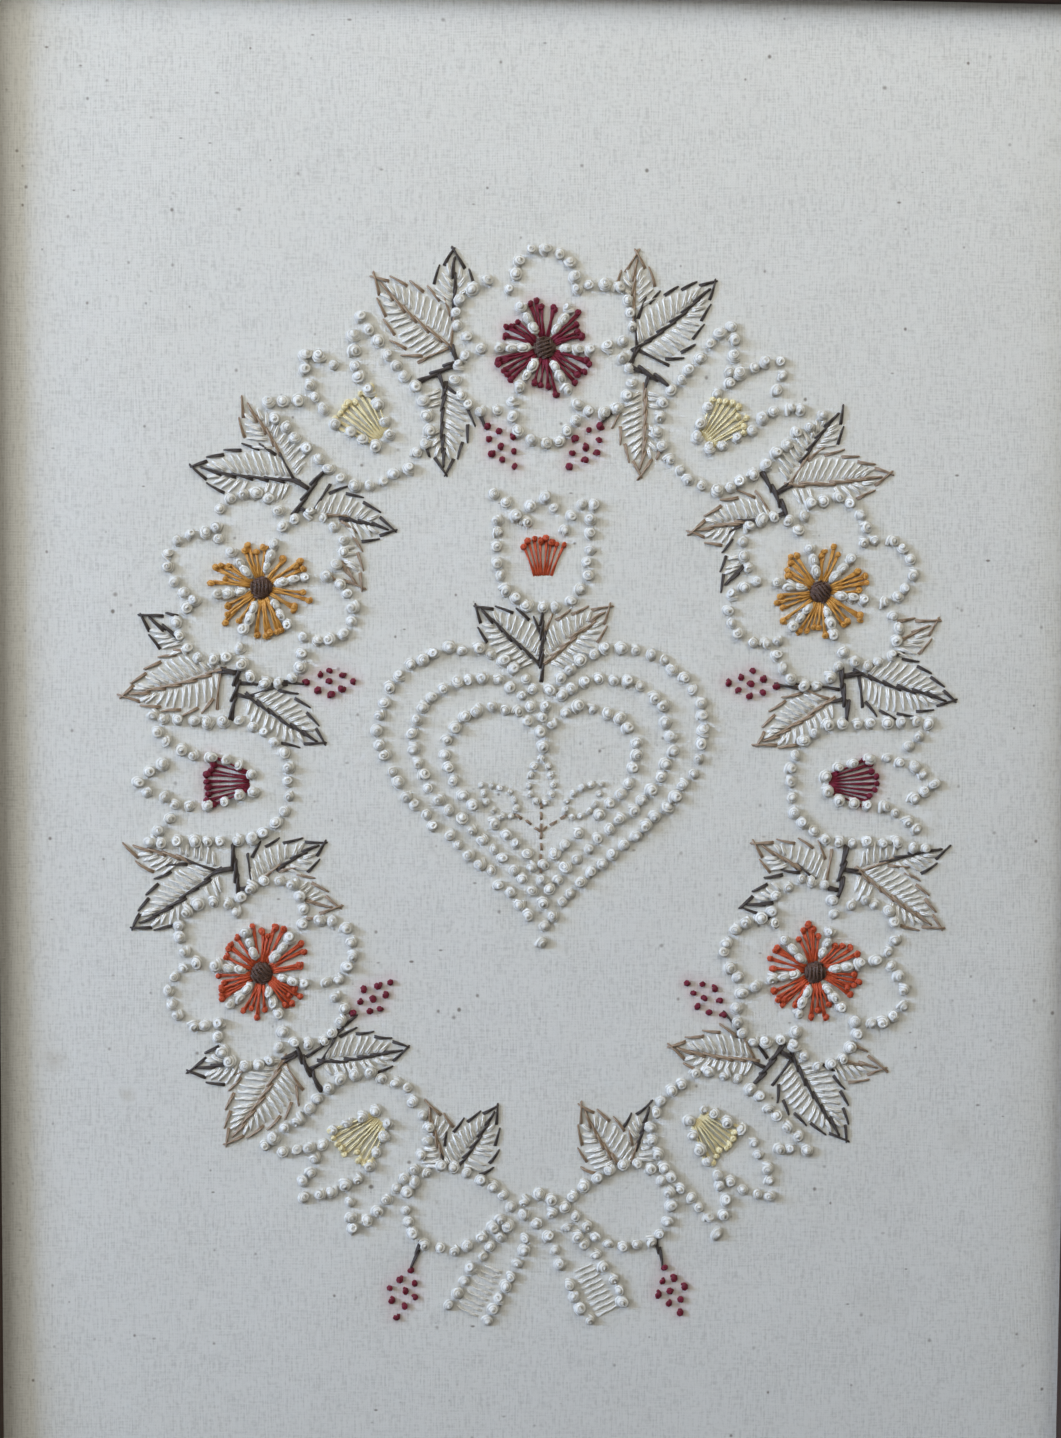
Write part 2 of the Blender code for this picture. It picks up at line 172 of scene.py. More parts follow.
class NodeWriter:
    """Writes a material's node tree or a Geometry Nodes tree."""

    # The Mix node's colour sockets, by number.
    mix_low: int = 6
    mix_high: int = 7
    mix_result: int = 2

    def __init__(self, tree: bpy.types.NodeTree) -> None:
        """Keeps the tree that is written."""
        self.tree = tree

    def add(
        self, kind: str, settings: dict[str, Any] | None = None, sockets: dict[Any, Any] | None = None
    ) -> bpy.types.Node:
        """Adds a node.

        Args:
            kind: The node's type.
            settings: Its properties, set before its sockets.
            sockets: Values or links by input name or number.

        Returns:
            The node.
        """
        node = self.tree.nodes.new(kind)
        for name, value in (settings or {}).items():
            setattr(node, name, value)
        for key, value in (sockets or {}).items():
            if isinstance(value, Signal):
                value = value.socket
            if isinstance(value, bpy.types.NodeSocket):
                self.tree.links.new(value, node.inputs[key])
            else:
                node.inputs[key].default_value = value
        return node

    def signal(self, node: bpy.types.Node, output: Any = 0) -> Signal:
        """Wraps one of a node's outputs."""
        return Signal(self, node.outputs[output])

    def split(self, vector: bpy.types.NodeSocket) -> tuple[Signal, Signal, Signal]:
        """The three numbers of a vector."""
        node = self.add("ShaderNodeSeparateXYZ", sockets={0: vector})
        return self.signal(node, 0), self.signal(node, 1), self.signal(node, 2)

    def mix(self, share: Signal | float, low: Any, high: Any) -> bpy.types.NodeSocket:
        """Mixes two colours.

        Args:
            share: 0 for low, 1 for high.
            low: A colour or a colour socket.
            high: A colour or a colour socket.

        Returns:
            The mixed colour's socket.
        """
        first, second = ((*c, 1.0) if isinstance(c, tuple) else c for c in (low, high))
        sockets = {0: share, self.mix_low: first, self.mix_high: second}
        return self.add("ShaderNodeMix", {"data_type": "RGBA"}, sockets).outputs[self.mix_result]

    def vector_math(self, operation: str, sockets: dict[Any, Any]) -> bpy.types.NodeSocket:
        """The vector that a Vector Math node gives."""
        return self.add("ShaderNodeVectorMath", {"operation": operation}, sockets).outputs[0]

    def noise(self, vector: bpy.types.NodeSocket, scale: Triple, detail: float) -> Signal:
        """Noise from 0 to 1 over a vector.

        Args:
            vector: Where it is read, in metres.
            scale: Its waves a metre along each axis.
            detail: How many finer layers it has.

        Returns:
            The noise.
        """
        mapped = self.add("ShaderNodeMapping", sockets={"Vector": vector, "Scale": scale})
        sockets = {"Vector": mapped.outputs[0], "Scale": 1.0, "Detail": detail}
        return self.signal(self.add("ShaderNodeTexNoise", sockets=sockets))


class MaterialWriter(NodeWriter):
    """Writes a material with one Principled shader."""

    def __init__(self, name: str, constants: dict[str, Any]) -> None:
        """Starts a material.

        Args:
            name: Its name.
            constants: The shader's values that are the same all over.
        """
        self.material = bpy.data.materials.new(name)
        self.material.use_nodes = True
        super().__init__(self.material.node_tree)
        self.shader = self.tree.nodes["Principled BSDF"]
        for key, value in constants.items():
            self.shader.inputs[key].default_value = value

    def place(self) -> bpy.types.NodeSocket:
        """Where a point lies on its piece, in metres."""
        return self.add("ShaderNodeTexCoord").outputs["Object"]

    def attribute(self, name: str) -> bpy.types.Node:
        """The node that reads one of the piece's attributes."""
        return self.add("ShaderNodeAttribute", {"attribute_name": name})

    def feed(self, colour: Any, roughness: Signal | float, height: Signal, relief: float) -> None:
        """Links what changes over the surface to the shader.

        Args:
            colour: The base colour's socket.
            roughness: The roughness.
            height: The bump's height, from about 0 to 1.
            relief: The real height of the bump, in metres.
        """
        bump = self.add("ShaderNodeBump", sockets={"Height": height, "Distance": relief, "Strength": 1.0})
        self.tree.links.new(colour, self.shader.inputs["Base Color"])
        self.tree.links.new(bump.outputs[0], self.shader.inputs["Normal"])
        if isinstance(roughness, Signal):
            self.tree.links.new(roughness.socket, self.shader.inputs["Roughness"])
        else:
            self.shader.inputs["Roughness"].default_value = roughness


@dataclass(frozen=True)
class ThreadFinish:
    """Twisted cotton: soft or shiny, paler on its plies and darker between them, the darkening a painted
    shade in the grooves.
    """

    colour: Colour
    # The darker colour, painted as shade in the grooves between the plies.
    groove_shade: Colour
    roughness: float = 0.6
    sheen: float = 0.08
    sheen_roughness: float = 0.5
    plies: int = 2
    twist_length: float = 0.0030
    relief: float = 0.00012
    fibre_scale: float = 2600.0
    ply_edge: float = 0.55
    ply_light: float = 0.75
    fibre_light: float = 0.35
    ply_relief: float = 0.8
    fibre_relief: float = 0.25
    darkest: float = 0.8
    tone_share: float = 0.55

    def material(self, name: str) -> bpy.types.Material:
        """Writes the thread's material.

        Args:
            name: The material's name.

        Returns:
            The material.
        """
        constants = {"Sheen Weight": self.sheen, "Sheen Roughness": self.sheen_roughness}
        writer = MaterialWriter(name, constants)
        ring_x, ring_y, along = writer.split(writer.attribute("thread_place").outputs["Vector"])
        tone = writer.signal(writer.attribute("tone"), "Fac")
        turn = ring_x.math("ARCTAN2", ring_y, ring_x)
        ply = (turn * float(self.plies) + along * (2 * pi / self.twist_length)).sine() * 0.5 + 0.5
        fibre = writer.noise(writer.place(), (self.fibre_scale,) * 3, 1.0)
        # Painted shade: the thread is mixed towards the groove colour where its plies part, together with
        # random fibre tone.
        lit = ply.between(0.0, self.ply_edge) * self.ply_light + fibre * self.fibre_light
        colour = writer.mix(lit.between(0.0, 1.0), self.groove_shade, self.colour)
        darker = tuple(c * self.darkest for c in self.colour)
        colour = writer.mix(tone * self.tone_share, colour, darker)
        height = ply ** 0.5 * self.ply_relief + fibre * self.fibre_relief
        writer.feed(colour, self.roughness, height, self.relief)
        return writer.material


@dataclass(frozen=True)
class MuslinFinish:
    """Unbleached plain weave with uneven threads, husk specks, faint stains and bled dye."""

    colour: Colour = (0.765, 0.76, 0.73)
    shade: Colour = (0.60, 0.595, 0.565)
    husk: Colour = (0.18, 0.15, 0.12)
    stain: Colour = (0.50, 0.46, 0.38)
    dye: Colour = (0.62, 0.30, 0.36)
    sheen: float = 0.2
    sheen_roughness: float = 0.6
    roughness: float = 0.92
    thread_pitch: float = 0.00043
    slub_length: float = 0.006
    relief: float = 0.00016
    grit_scale: Triple = (900.0, 900.0, 1.0)
    cloud_scale: Triple = (55.0, 55.0, 1.0)
    warp_tone: float = 1.6
    weft_tone: float = 1.0
    grit_tone: float = 1.3
    weave_tone: float = 0.25
    cloud_tone: float = 0.5
    base_tone: float = 0.33
    weave_relief: float = 0.55
    slub_relief: float = 0.5
    speck_strength: float = 0.9
    speck_edge: Pair = (1.2, 0.2)
    smallest_speck: float = 0.20
    faintest_speck: float = 0.4
    speck_bias: float = 1.5
    sure_speck: float = 0.9
    ragged_scale: Triple = (260.0, 260.0, 1.0)
    raggedness: float = 1.2
    stain_edge: Pair = (1.5, 0.5)
    specks: tuple[tuple[Triple, float, float], ...] = (
        ((84.0, 92.0, 1.0), 0.070, 0.0),
        ((175.0, 160.0, 1.0), 0.115, 0.10),
        ((110.0, 200.0, 1.0), 0.085, 0.20),
    )
    stains: tuple[tuple[float, float, float, float], ...] = (
        (-0.137, -0.083, 0.006, 0.45),
        (-0.117, -0.093, 0.004, 0.50),
        (0.122, -0.106, 0.010, 0.22),
        (0.100, -0.155, 0.016, 0.15),
    )

    def material(self, name: str) -> bpy.types.Material:
        """Writes the muslin's material.

        Args:
            name: The material's name.

        Returns:
            The material.
        """
        constants = {"Sheen Weight": self.sheen, "Sheen Roughness": self.sheen_roughness}
        writer = MaterialWriter(name, constants)
        place = writer.place()
        x, y, _ = writer.split(place)
        warp_turn, weft_turn = x * (pi / self.thread_pitch), y * (pi / self.thread_pitch)
        over = warp_turn.cosine() * weft_turn.cosine() * 0.5 + 0.5
        across, along = 1 / self.thread_pitch, 1 / self.slub_length
        warp = writer.noise(place, (across, along, 1.0), 1.0)
        weft = writer.noise(place, (along, across, 1.0), 1.0)
        weave = abs(warp_turn.sine()) * over + abs(weft_turn.sine()) * (1.0 - over)
        grit = writer.noise(place, self.grit_scale, 1.0)
        cloud = writer.noise(place, self.cloud_scale, 3.0)
        tone = (warp - 0.5) * self.warp_tone + (weft - 0.5) * self.weft_tone
        tone = tone + (grit - 0.5) * self.grit_tone
        tone = tone + weave * self.weave_tone + cloud * self.cloud_tone + self.base_tone
        colour = writer.mix(tone.between(0.0, 1.0), self.shade, self.colour)
        colour = writer.mix(self._specks(writer, place) * self.speck_strength, colour, self.husk)
        colour = writer.mix(self._stained(writer, place, x, y), colour, self.stain)
        colour = writer.mix(writer.signal(writer.attribute("dye"), "Fac"), colour, self.dye)
        height = weave * self.weave_relief + warp * self.slub_relief + weft * self.slub_relief
        writer.feed(colour, self.roughness, height, self.relief)
        return writer.material

    def _specks(self, writer: MaterialWriter, place: bpy.types.NodeSocket) -> Signal:
        """Husk specks and slubs, dark and sparse.

        Args:
            writer: The material's writer.
            place: Where a point lies.

        Returns:
            1 within a speck and 0 outside.
        """
        found = None
        for scale, size, least in self.specks:
            mapped = writer.add("ShaderNodeMapping", sockets={"Vector": place, "Scale": scale})
            cells = writer.add("ShaderNodeTexVoronoi", sockets={"Vector": mapped.outputs[0], "Scale": 1.0})
            luck, other, _ = writer.split(cells.outputs["Color"])
            reach = luck ** self.speck_bias * size + size * self.smallest_speck
            speck = (writer.signal(cells, "Distance") / reach).between(*self.speck_edge)
            strength = other * (1 - self.faintest_speck) + self.faintest_speck
            speck = speck * strength * luck.between(least, self.sure_speck)
            found = speck if found is None else found + speck
        return found.between(0.0, 1.0)

    def _stained(
        self, writer: MaterialWriter, place: bpy.types.NodeSocket, x: Signal, y: Signal
    ) -> Signal:
        """Old faint stains at named places.

        Args:
            writer: The material's writer.
            place: Where a point lies.
            x: Its place across.
            y: Its place upwards.

        Returns:
            How strong a stain is there.
        """
        ragged = writer.noise(place, self.ragged_scale, 3.0)
        total = None
        for centre_x, centre_y, radius, strength in self.stains:
            away = x.math("SQRT", (x - centre_x) ** 2.0 + (y - centre_y) ** 2.0) / radius
            spot = (away + ragged * self.raggedness).between(*self.stain_edge) * strength
            total = spot if total is None else total + spot
        return total


@dataclass(frozen=True)
class WoodFinish:
    """Dark stained hardwood with open pores under a thin varnish, rubbed at its arrises."""

    dark: Colour = (0.022, 0.010, 0.008)
    light: Colour = (0.074, 0.029, 0.019)
    rubbed: Colour = (0.20, 0.10, 0.055)
    relief: float = 0.00010
    coat: float = 0.05
    coat_roughness: float = 0.3
    specular: float = 0.22
    roughness: float = 0.32
    pore_roughness: float = 0.25
    pore_edge: Pair = (0.35, 0.6)
    figure_scale: Triple = (7.0, 260.0, 260.0)
    pore_scale: Triple = (60.0, 2400.0, 2400.0)
    wear_scale: Triple = (90.0, 700.0, 700.0)
    bands: float = 26.0
    band_tone: float = 0.45
    figure_tone: float = 0.4
    pore_tone: float = 0.45
    base_tone: float = -0.15
    wear_edge: Pair = (1.25, 1.6)
    wear_strength: float = 0.6

    def material(self, name: str) -> bpy.types.Material:
        """Writes the wood's material.

        Args:
            name: The material's name.

        Returns:
            The material.
        """
        constants = {
            "Coat Roughness": self.coat_roughness,
            "Coat Weight": self.coat,
            "Specular IOR Level": self.specular,
        }
        writer = MaterialWriter(name, constants)
        grain = writer.attribute("grain").outputs["Vector"]
        rubbed = writer.signal(writer.attribute("rubbed"), "Fac")
        figure = writer.noise(grain, self.figure_scale, 3.0)
        pores = writer.noise(grain, self.pore_scale, 2.0)
        bands = (figure * self.bands).sine() * 0.5 + 0.5
        tone = bands * self.band_tone + figure * self.figure_tone + pores * self.pore_tone
        tone = (tone + self.base_tone).between(0.0, 1.0)
        colour = writer.mix(tone, self.dark, self.light)
        worn = (rubbed + writer.noise(grain, self.wear_scale, 3.0)).between(*self.wear_edge)
        colour = writer.mix(worn * self.wear_strength, colour, self.rubbed)
        roughness = self.roughness + pores * self.pore_roughness
        writer.feed(colour, roughness, pores.between(*self.pore_edge), self.relief)
        return writer.material


@dataclass(frozen=True)
class HardboardFinish:
    """Pressed brown fibreboard."""

    dark: Colour = (0.15, 0.090, 0.050)
    light: Colour = (0.30, 0.20, 0.125)
    relief: float = 0.0001
    roughness: float = 0.75
    fibre_roughness: float = 0.15
    fibre_scale: Triple = (500.0, 900.0, 500.0)
    cloud_scale: Triple = (30.0, 30.0, 30.0)
    fibre_tone: float = 0.8
    cloud_tone: float = 0.5
    base_tone: float = -0.2

    def material(self, name: str) -> bpy.types.Material:
        """Writes the board's material.

        Args:
            name: The material's name.

        Returns:
            The material.
        """
        writer = MaterialWriter(name, {})
        place = writer.place()
        fibre = writer.noise(place, self.fibre_scale, 4.0)
        cloud = writer.noise(place, self.cloud_scale, 2.0)
        tone = fibre * self.fibre_tone + cloud * self.cloud_tone + self.base_tone
        colour = writer.mix(tone.between(0.0, 1.0), self.dark, self.light)
        writer.feed(colour, self.roughness + fibre * self.fibre_roughness, fibre, self.relief)
        return writer.material


@dataclass(frozen=True)
class FloorFinish:
    """A plain pale surface."""

    colour: Colour = (0.74, 0.74, 0.72)
    paler: float = 1.03
    grit_scale: Triple = (90.0, 90.0, 90.0)
    roughness: float = 0.7
    relief: float = 0.0001

    def material(self, name: str) -> bpy.types.Material:
        """Writes the floor's material.

        Args:
            name: The material's name.

        Returns:
            The material.
        """
        writer = MaterialWriter(name, {})
        grit = writer.noise(writer.place(), self.grit_scale, 3.0)
        paler = tuple(min(1.0, c * self.paler) for c in self.colour)
        writer.feed(writer.mix(grit, self.colour, paler), self.roughness, grit, self.relief)
        return writer.material


# Each thread's second colour is painted shade, darker between its plies.
THREADS: dict[Yarn, ThreadFinish] = {
    Yarn.CANDLEWICK: ThreadFinish(
        (0.81, 0.795, 0.755), (0.42, 0.41, 0.38), 0.8, sheen=0.2, plies=4, twist_length=0.0042
    ),
    Yarn.WHITE: ThreadFinish((0.90, 0.885, 0.85), (0.54, 0.525, 0.49), 0.45),
    Yarn.TAN: ThreadFinish((0.385, 0.282, 0.198), (0.22, 0.150, 0.105)),
    Yarn.BROWN: ThreadFinish((0.070, 0.054, 0.049), (0.028, 0.021, 0.019), 0.65),
    Yarn.CENTRE: ThreadFinish((0.115, 0.060, 0.042), (0.045, 0.024, 0.017)),
    Yarn.CRIMSON: ThreadFinish((0.195, 0.003, 0.026), (0.085, 0.003, 0.012), 0.7, sheen=0.03),
    Yarn.ORANGE: ThreadFinish((0.59, 0.088, 0.024), (0.32, 0.036, 0.011), 0.65, sheen=0.03),
    Yarn.GOLD: ThreadFinish((0.65, 0.325, 0.062), (0.40, 0.17, 0.028)),
    Yarn.YELLOW: ThreadFinish((0.90, 0.80, 0.50), (0.66, 0.56, 0.30), 0.55),
}


@dataclass(frozen=True)
class KnotShape:
    """How a knot is wound: the thread's coil, from its outer wrap to its middle."""

    turns: float
    coil_radius: float
    inner_radius: float
    rise: float
    thread_radius: float
    steps: int = 9
    sides: int = 5
    core_share: float = 0.80

    def values(self) -> dict[str, Any]:
        """The knot tree's inputs for this shape."""
        return {
            "Steps a turn": self.steps,
            "Turns": self.turns,
            "Sides": self.sides,
            "Coil radius": self.coil_radius,
            "Inner radius": self.inner_radius,
            "Rise": self.rise,
            "Thread radius": self.thread_radius,
            "Core radius": self.coil_radius * self.core_share,
        }


WHITE_KNOTS = (
    KnotShape(1.95, 0.00120, 0.00014, 0.00104, 0.00064),
    KnotShape(1.60, 0.00110, 0.00018, 0.00116, 0.00073),
    KnotShape(2.35, 0.00130, 0.00010, 0.00096, 0.00055, 8),
)
BEAD = KnotShape(1.45, 0.00108, 0.00035, 0.00115, 0.00078, 7)


class GeometryTree(NodeWriter):
    """A Geometry Nodes tree with named inputs."""

    def __init__(self, name: str, inputs: dict[str, tuple[str, Any]]) -> None:
        """Starts a tree.

        Args:
            name: The tree's name.
            inputs: Socket type and usual value by the input's name.
        """
        super().__init__(bpy.data.node_groups.new(name, "GeometryNodeTree"))
        sides = self.tree.interface
        sides.new_socket("Geometry", in_out="INPUT", socket_type="NodeSocketGeometry")
        sides.new_socket("Geometry", in_out="OUTPUT", socket_type="NodeSocketGeometry")
        self.identifiers: dict[str, str] = {}
        for title, (kind, value) in inputs.items():
            socket = sides.new_socket(title, in_out="INPUT", socket_type=kind)
            if value is not None:
                socket.default_value = value
            self.identifiers[title] = socket.identifier
        self.given = self.add("NodeGroupInput")

    def number(self, title: str) -> Signal:
        """One of the tree's named numbers."""
        return self.signal(self.given, title)

    def named(self, name: str, kind: str = "FLOAT") -> bpy.types.NodeSocket:
        """An attribute of the geometry."""
        node = self.add("GeometryNodeInputNamedAttribute", {"data_type": kind}, {"Name": name})
        return node.outputs["Attribute"]

    def store(
        self, geometry: bpy.types.NodeSocket, name: str, kind: str, value: Any
    ) -> bpy.types.NodeSocket:
        """Stores an attribute on the geometry's points.

        Args:
            geometry: The geometry's socket.
            name: The attribute's name.
            kind: Its data type.
            value: The value or link.

        Returns:
            The geometry with the attribute.
        """
        sockets = {"Geometry": geometry, "Name": name, "Value": value}
        return self.add("GeometryNodeStoreNamedAttribute", {"data_type": kind}, sockets).outputs[0]

    def upwards(self, height: Signal) -> bpy.types.NodeSocket:
        """The vector of that height, straight up."""
        return self.add("ShaderNodeCombineXYZ", sockets={2: height}).outputs[0]

    def spun(self, curve: bpy.types.NodeSocket, sides: Signal) -> bpy.types.NodeSocket:
        """Gives a curve the round body of a thread and keeps where each point lies on it.

        Args:
            curve: The curve, with its radius.
            sides: How many sides the thread's body has.

        Returns:
            The thread's mesh, with the attribute thread_place.
        """
        along = self.signal(self.add("GeometryNodeSplineParameter"), "Length")
        curve = self.store(curve, "along", "FLOAT", along)
        sockets = {"Resolution": sides, "Radius": 1.0}
        circle = self.add("GeometryNodeCurvePrimitiveCircle", sockets=sockets)
        position = self.add("GeometryNodeInputPosition").outputs[0]
        profile = self.store(circle.outputs[0], "ring", "FLOAT_VECTOR", position)
        radius = self.add("GeometryNodeInputRadius").outputs[0]
        sockets = {"Curve": curve, "Profile Curve": profile, "Scale": radius, "Fill Caps": True}
        mesh = self.add("GeometryNodeCurveToMesh", sockets=sockets).outputs[0]
        ring_x, ring_y, _ = self.split(self.named("ring", "FLOAT_VECTOR"))
        joined = self.add("ShaderNodeCombineXYZ", sockets={0: ring_x, 1: ring_y, 2: self.named("along")})
        mesh = self.store(mesh, "thread_place", "FLOAT_VECTOR", joined.outputs[0])
        return self.add("GeometryNodeSetShadeSmooth", sockets={0: mesh}).outputs[0]

    def end(self, geometry: bpy.types.NodeSocket) -> None:
        """Ends the tree: instances realized, material set.

        Args:
            geometry: The geometry's socket.
        """
        real = self.add("GeometryNodeRealizeInstances", sockets={0: geometry}).outputs[0]
        sockets = {"Geometry": real, "Material": self.given.outputs["Material"]}
        dressed = self.add("GeometryNodeSetMaterial", sockets=sockets).outputs[0]
        self.add("NodeGroupOutput", sockets={0: dressed})

    def run(self, seed_object: bpy.types.Object, values: dict[str, Any]) -> bpy.types.Object:
        """Runs the tree on an object and keeps the result as a plain mesh.

        Args:
            seed_object: The object that holds the tree's points or paths. It is removed.
            values: Values by the input's name.

        Returns:
            A new object with the seed object's name.
        """
        modifier = seed_object.modifiers.new(self.tree.name, "NODES")
        modifier.node_group = self.tree
        for title, value in values.items():
            modifier[self.identifiers[title]] = value
        graph = bpy.context.evaluated_depsgraph_get()
        mesh = bpy.data.meshes.new_from_object(seed_object.evaluated_get(graph), depsgraph=graph)
        name = seed_object.name
        bpy.data.objects.remove(seed_object)
        mesh.name = name
        mesh.materials.clear()
        mesh.materials.append(values["Material"])
        return linked(name, mesh)


def linked(name: str, mesh: bpy.types.Mesh) -> bpy.types.Object:
    """Puts a mesh in the scene.

    Args:
        name: The object's name.
        mesh: Its mesh.

    Returns:
        The object, at the origin.
    """
    made = bpy.data.objects.new(name, mesh)
    bpy.context.scene.collection.objects.link(made)
    return made


def give_attribute(mesh: bpy.types.Mesh, title: str, values: np.ndarray) -> None:
    """Stores a number or a vector at each of a mesh's points.

    Args:
        mesh: The mesh.
        title: The attribute's name.
        values: The numbers, or the vectors one a row.
    """
    wide = np.ndim(values) == 2
    made = mesh.attributes.new(title, "FLOAT_VECTOR" if wide else "FLOAT", "POINT")
    made.data.foreach_set("vector" if wide else "value", np.asarray(values, np.float32).ravel())


def seed_mesh(
    name: str, points: np.ndarray, edges: list[tuple[int, int]], attributes: dict[str, np.ndarray]
) -> bpy.types.Object:
    """Makes the points or paths that a Geometry Nodes tree grows from.

    Args:
        name: The object's name.
        points: Places, one a row.
        edges: Pairs of point numbers.
        attributes: A number or a vector for each point, by name.

    Returns:
        The object.
    """
    mesh = bpy.data.meshes.new(name)
    mesh.from_pydata([tuple(p) for p in points], edges, [])
    for title, values in attributes.items():
        give_attribute(mesh, title, values)
    return linked(name, mesh)


def thread_tree() -> GeometryTree:
    """Writes the tree that lays strands of floss along paths.

    Returns:
        The tree. Its paths hold the attributes thick and tone.
    """
    inputs = {
        "Strands": ("NodeSocketInt", 2),
        "Sides": ("NodeSocketInt", 5),
        "Strand share": ("NodeSocketFloat", 0.31),
        "Spread share": ("NodeSocketFloat", 0.25),
        "Twists a metre": ("NodeSocketFloat", 45.0),
        "Material": ("NodeSocketMaterial", None),
    }
    tree = GeometryTree("floss", inputs)
    curve = tree.add("GeometryNodeMeshToCurve", sockets={0: tree.given.outputs["Geometry"]}).outputs[0]
    curve = tree.add("GeometryNodeSetCurveNormal", {"mode": "Z_UP"}, {"Curve": curve}).outputs[0]
    strands = tree.number("Strands")
    copies = tree.add("GeometryNodeDuplicateElements", {"domain": "SPLINE"}, {0: curve, "Amount": strands})
    thick = Signal(tree, tree.named("thick"))
    length = tree.signal(tree.add("GeometryNodeSplineParameter"), "Length")
    turn = tree.signal(copies, "Duplicate Index") * (2 * pi) / strands
    turn = turn + length * tree.number("Twists a metre") * (2 * pi)
    normal = tree.add("GeometryNodeInputNormal").outputs[0]
    tangent = tree.add("GeometryNodeInputTangent").outputs[0]
    upward = tree.vector_math("CROSS_PRODUCT", {0: tangent, 1: normal})
    reach = thick * tree.number("Spread share")
    flatness = 0.5
    sideways = tree.vector_math("SCALE", {0: normal, "Scale": turn.cosine() * reach})
    lifted = tree.vector_math("SCALE", {0: upward, "Scale": turn.sine() * reach * flatness})
    sockets = {"Geometry": copies.outputs[0], "Offset": tree.vector_math("ADD", {0: sideways, 1: lifted})}
    curve = tree.add("GeometryNodeSetPosition", sockets=sockets).outputs[0]
    radius = thick * tree.number("Strand share")
    curve = tree.add("GeometryNodeSetCurveRadius", sockets={"Curve": curve, "Radius": radius}).outputs[0]
    tree.end(tree.spun(curve, tree.number("Sides")))
    return tree


def knot_tree() -> GeometryTree:
    """Writes the tree that ties a coiled knot at every point.

    Returns:
        The tree. Its points hold the attributes turn, size and tone.
    """
    inputs = {
        "Steps a turn": ("NodeSocketInt", 9),
        "Turns": ("NodeSocketFloat", 1.85),
        "Sides": ("NodeSocketInt", 5),
        "Coil radius": ("NodeSocketFloat", 0.00124),
        "Inner radius": ("NodeSocketFloat", 0.00036),
        "Rise": ("NodeSocketFloat", 0.00115),
        "Thread radius": ("NodeSocketFloat", 0.00062),
        "Core radius": ("NodeSocketFloat", 0.00090),
        "Material": ("NodeSocketMaterial", None),
    }
    tree = GeometryTree("knot", inputs)
    sockets = {
        "Resolution": tree.number("Steps a turn"),
        "Rotations": tree.number("Turns"),
        "Start Radius": tree.number("Coil radius"),
        "End Radius": tree.number("Inner radius"),
        "Height": tree.number("Rise"),
    }
    coil = tree.add("GeometryNodeCurveSpiral", sockets=sockets).outputs[0]
    share = tree.signal(tree.add("GeometryNodeSplineParameter"), "Factor")
    thread = tree.number("Thread radius")
    start_share, start_depth = 0.12, 1.4
    end_share, end_depth = 0.86, 0.35
    usual_lift = 0.75
    dive = share.between(start_share, 0.0) * start_depth + share.between(end_share, 1.0) * end_depth
    lift = thread * (usual_lift - dive)
    sockets = {"Geometry": coil, "Offset": tree.upwards(lift)}
    coil = tree.add("GeometryNodeSetPosition", sockets=sockets).outputs[0]
    taper = 0.18
    radius = thread * (1.0 - share * share * taper)
    coil = tree.add("GeometryNodeSetCurveRadius", sockets={"Curve": coil, "Radius": radius}).outputs[0]
    knot = tree.spun(coil, tree.number("Sides"))
    core = tree.add("GeometryNodeMeshIcoSphere", sockets={"Radius": tree.number("Core radius")}).outputs[0]
    core_height = 0.78
    sockets = {"Geometry": core, "Translation": tree.upwards(tree.number("Rise") * core_height)}
    core = tree.add("GeometryNodeTransform", sockets=sockets)
    joined = tree.add("GeometryNodeJoinGeometry", sockets={0: knot})
    tree.tree.links.new(core.outputs[0], joined.inputs[0])
    knot = joined.outputs[0]
    points = tree.add("GeometryNodeMeshToPoints", sockets={0: tree.given.outputs["Geometry"]}).outputs[0]
    sockets = {
        "Points": points,
        "Instance": knot,
        "Rotation": tree.named("turn", "FLOAT_VECTOR"),
        "Scale": tree.named("size", "FLOAT_VECTOR"),
    }
    tree.end(tree.add("GeometryNodeInstanceOnPoints", sockets=sockets).outputs[0])
    return tree


def heading(angle: float) -> np.ndarray:
    """The way that an angle points, clockwise from the picture's top."""
    return np.array([sin(angle), cos(angle)])


def ring_angles(first: float = 0.0, last: float = 2 * pi, steps: int = RING_STEPS) -> np.ndarray:
    """Even angles from the first up to the last, which is left out."""
    return np.linspace(first, last, steps, endpoint=False)


def placed(points: Any, centre: Any, turn: float = 0.0) -> np.ndarray:
    """Turns points clockwise from the picture's top and moves them.

    Args:
        points: Places round the origin, one a row.
        centre: Where the origin goes.
        turn: The turn in radians.

    Returns:
        The moved places.
    """
    c, s = cos(turn), sin(turn)
    return np.asarray(points) @ np.array([[c, -s], [s, c]]) + np.asarray(centre)


def bend(start: Pair, pull: Pair, end: Pair, steps: int = 12) -> np.ndarray:
    """Draws a soft arc, without its last point.

    Args:
        start: Where it starts.
        pull: The point that draws it aside.
        end: Where it ends.
        steps: How many points it has.

    Returns:
        The arc's points.
    """
    t = np.linspace(0, 1, steps, endpoint=False)[:, None]
    return (1 - t) ** 2 * np.array(start) + 2 * t * (1 - t) * np.array(pull) + t * t * np.array(end)


def evenly(points: np.ndarray, closed: bool, step: float) -> np.ndarray:
    """Spaces a row's points evenly.

    Args:
        points: The row, one place a line.
        closed: Whether its last point joins its first.
        step: About how far apart the points go.

    Returns:
        The evenly spaced points.
    """
    if closed:
        points = np.vstack([points, points[:1]])
    along = np.concatenate([[0], np.cumsum(np.hypot(*np.diff(points, axis=0).T))])
    at = np.linspace(0, along[-1], max(2, round(along[-1] / step)) + 1)
    even = np.stack([np.interp(at, along, points[:, i]) for i in (0, 1)], axis=1)
    return even[:-1] if closed else even


class Knot(NamedTuple):
    """One tied knot: its place in the plan, its radius, and which way and how far it is drawn long."""

    x: float
    y: float
    radius: float
    angle: float = 0.0
    stretch: float = 1.0


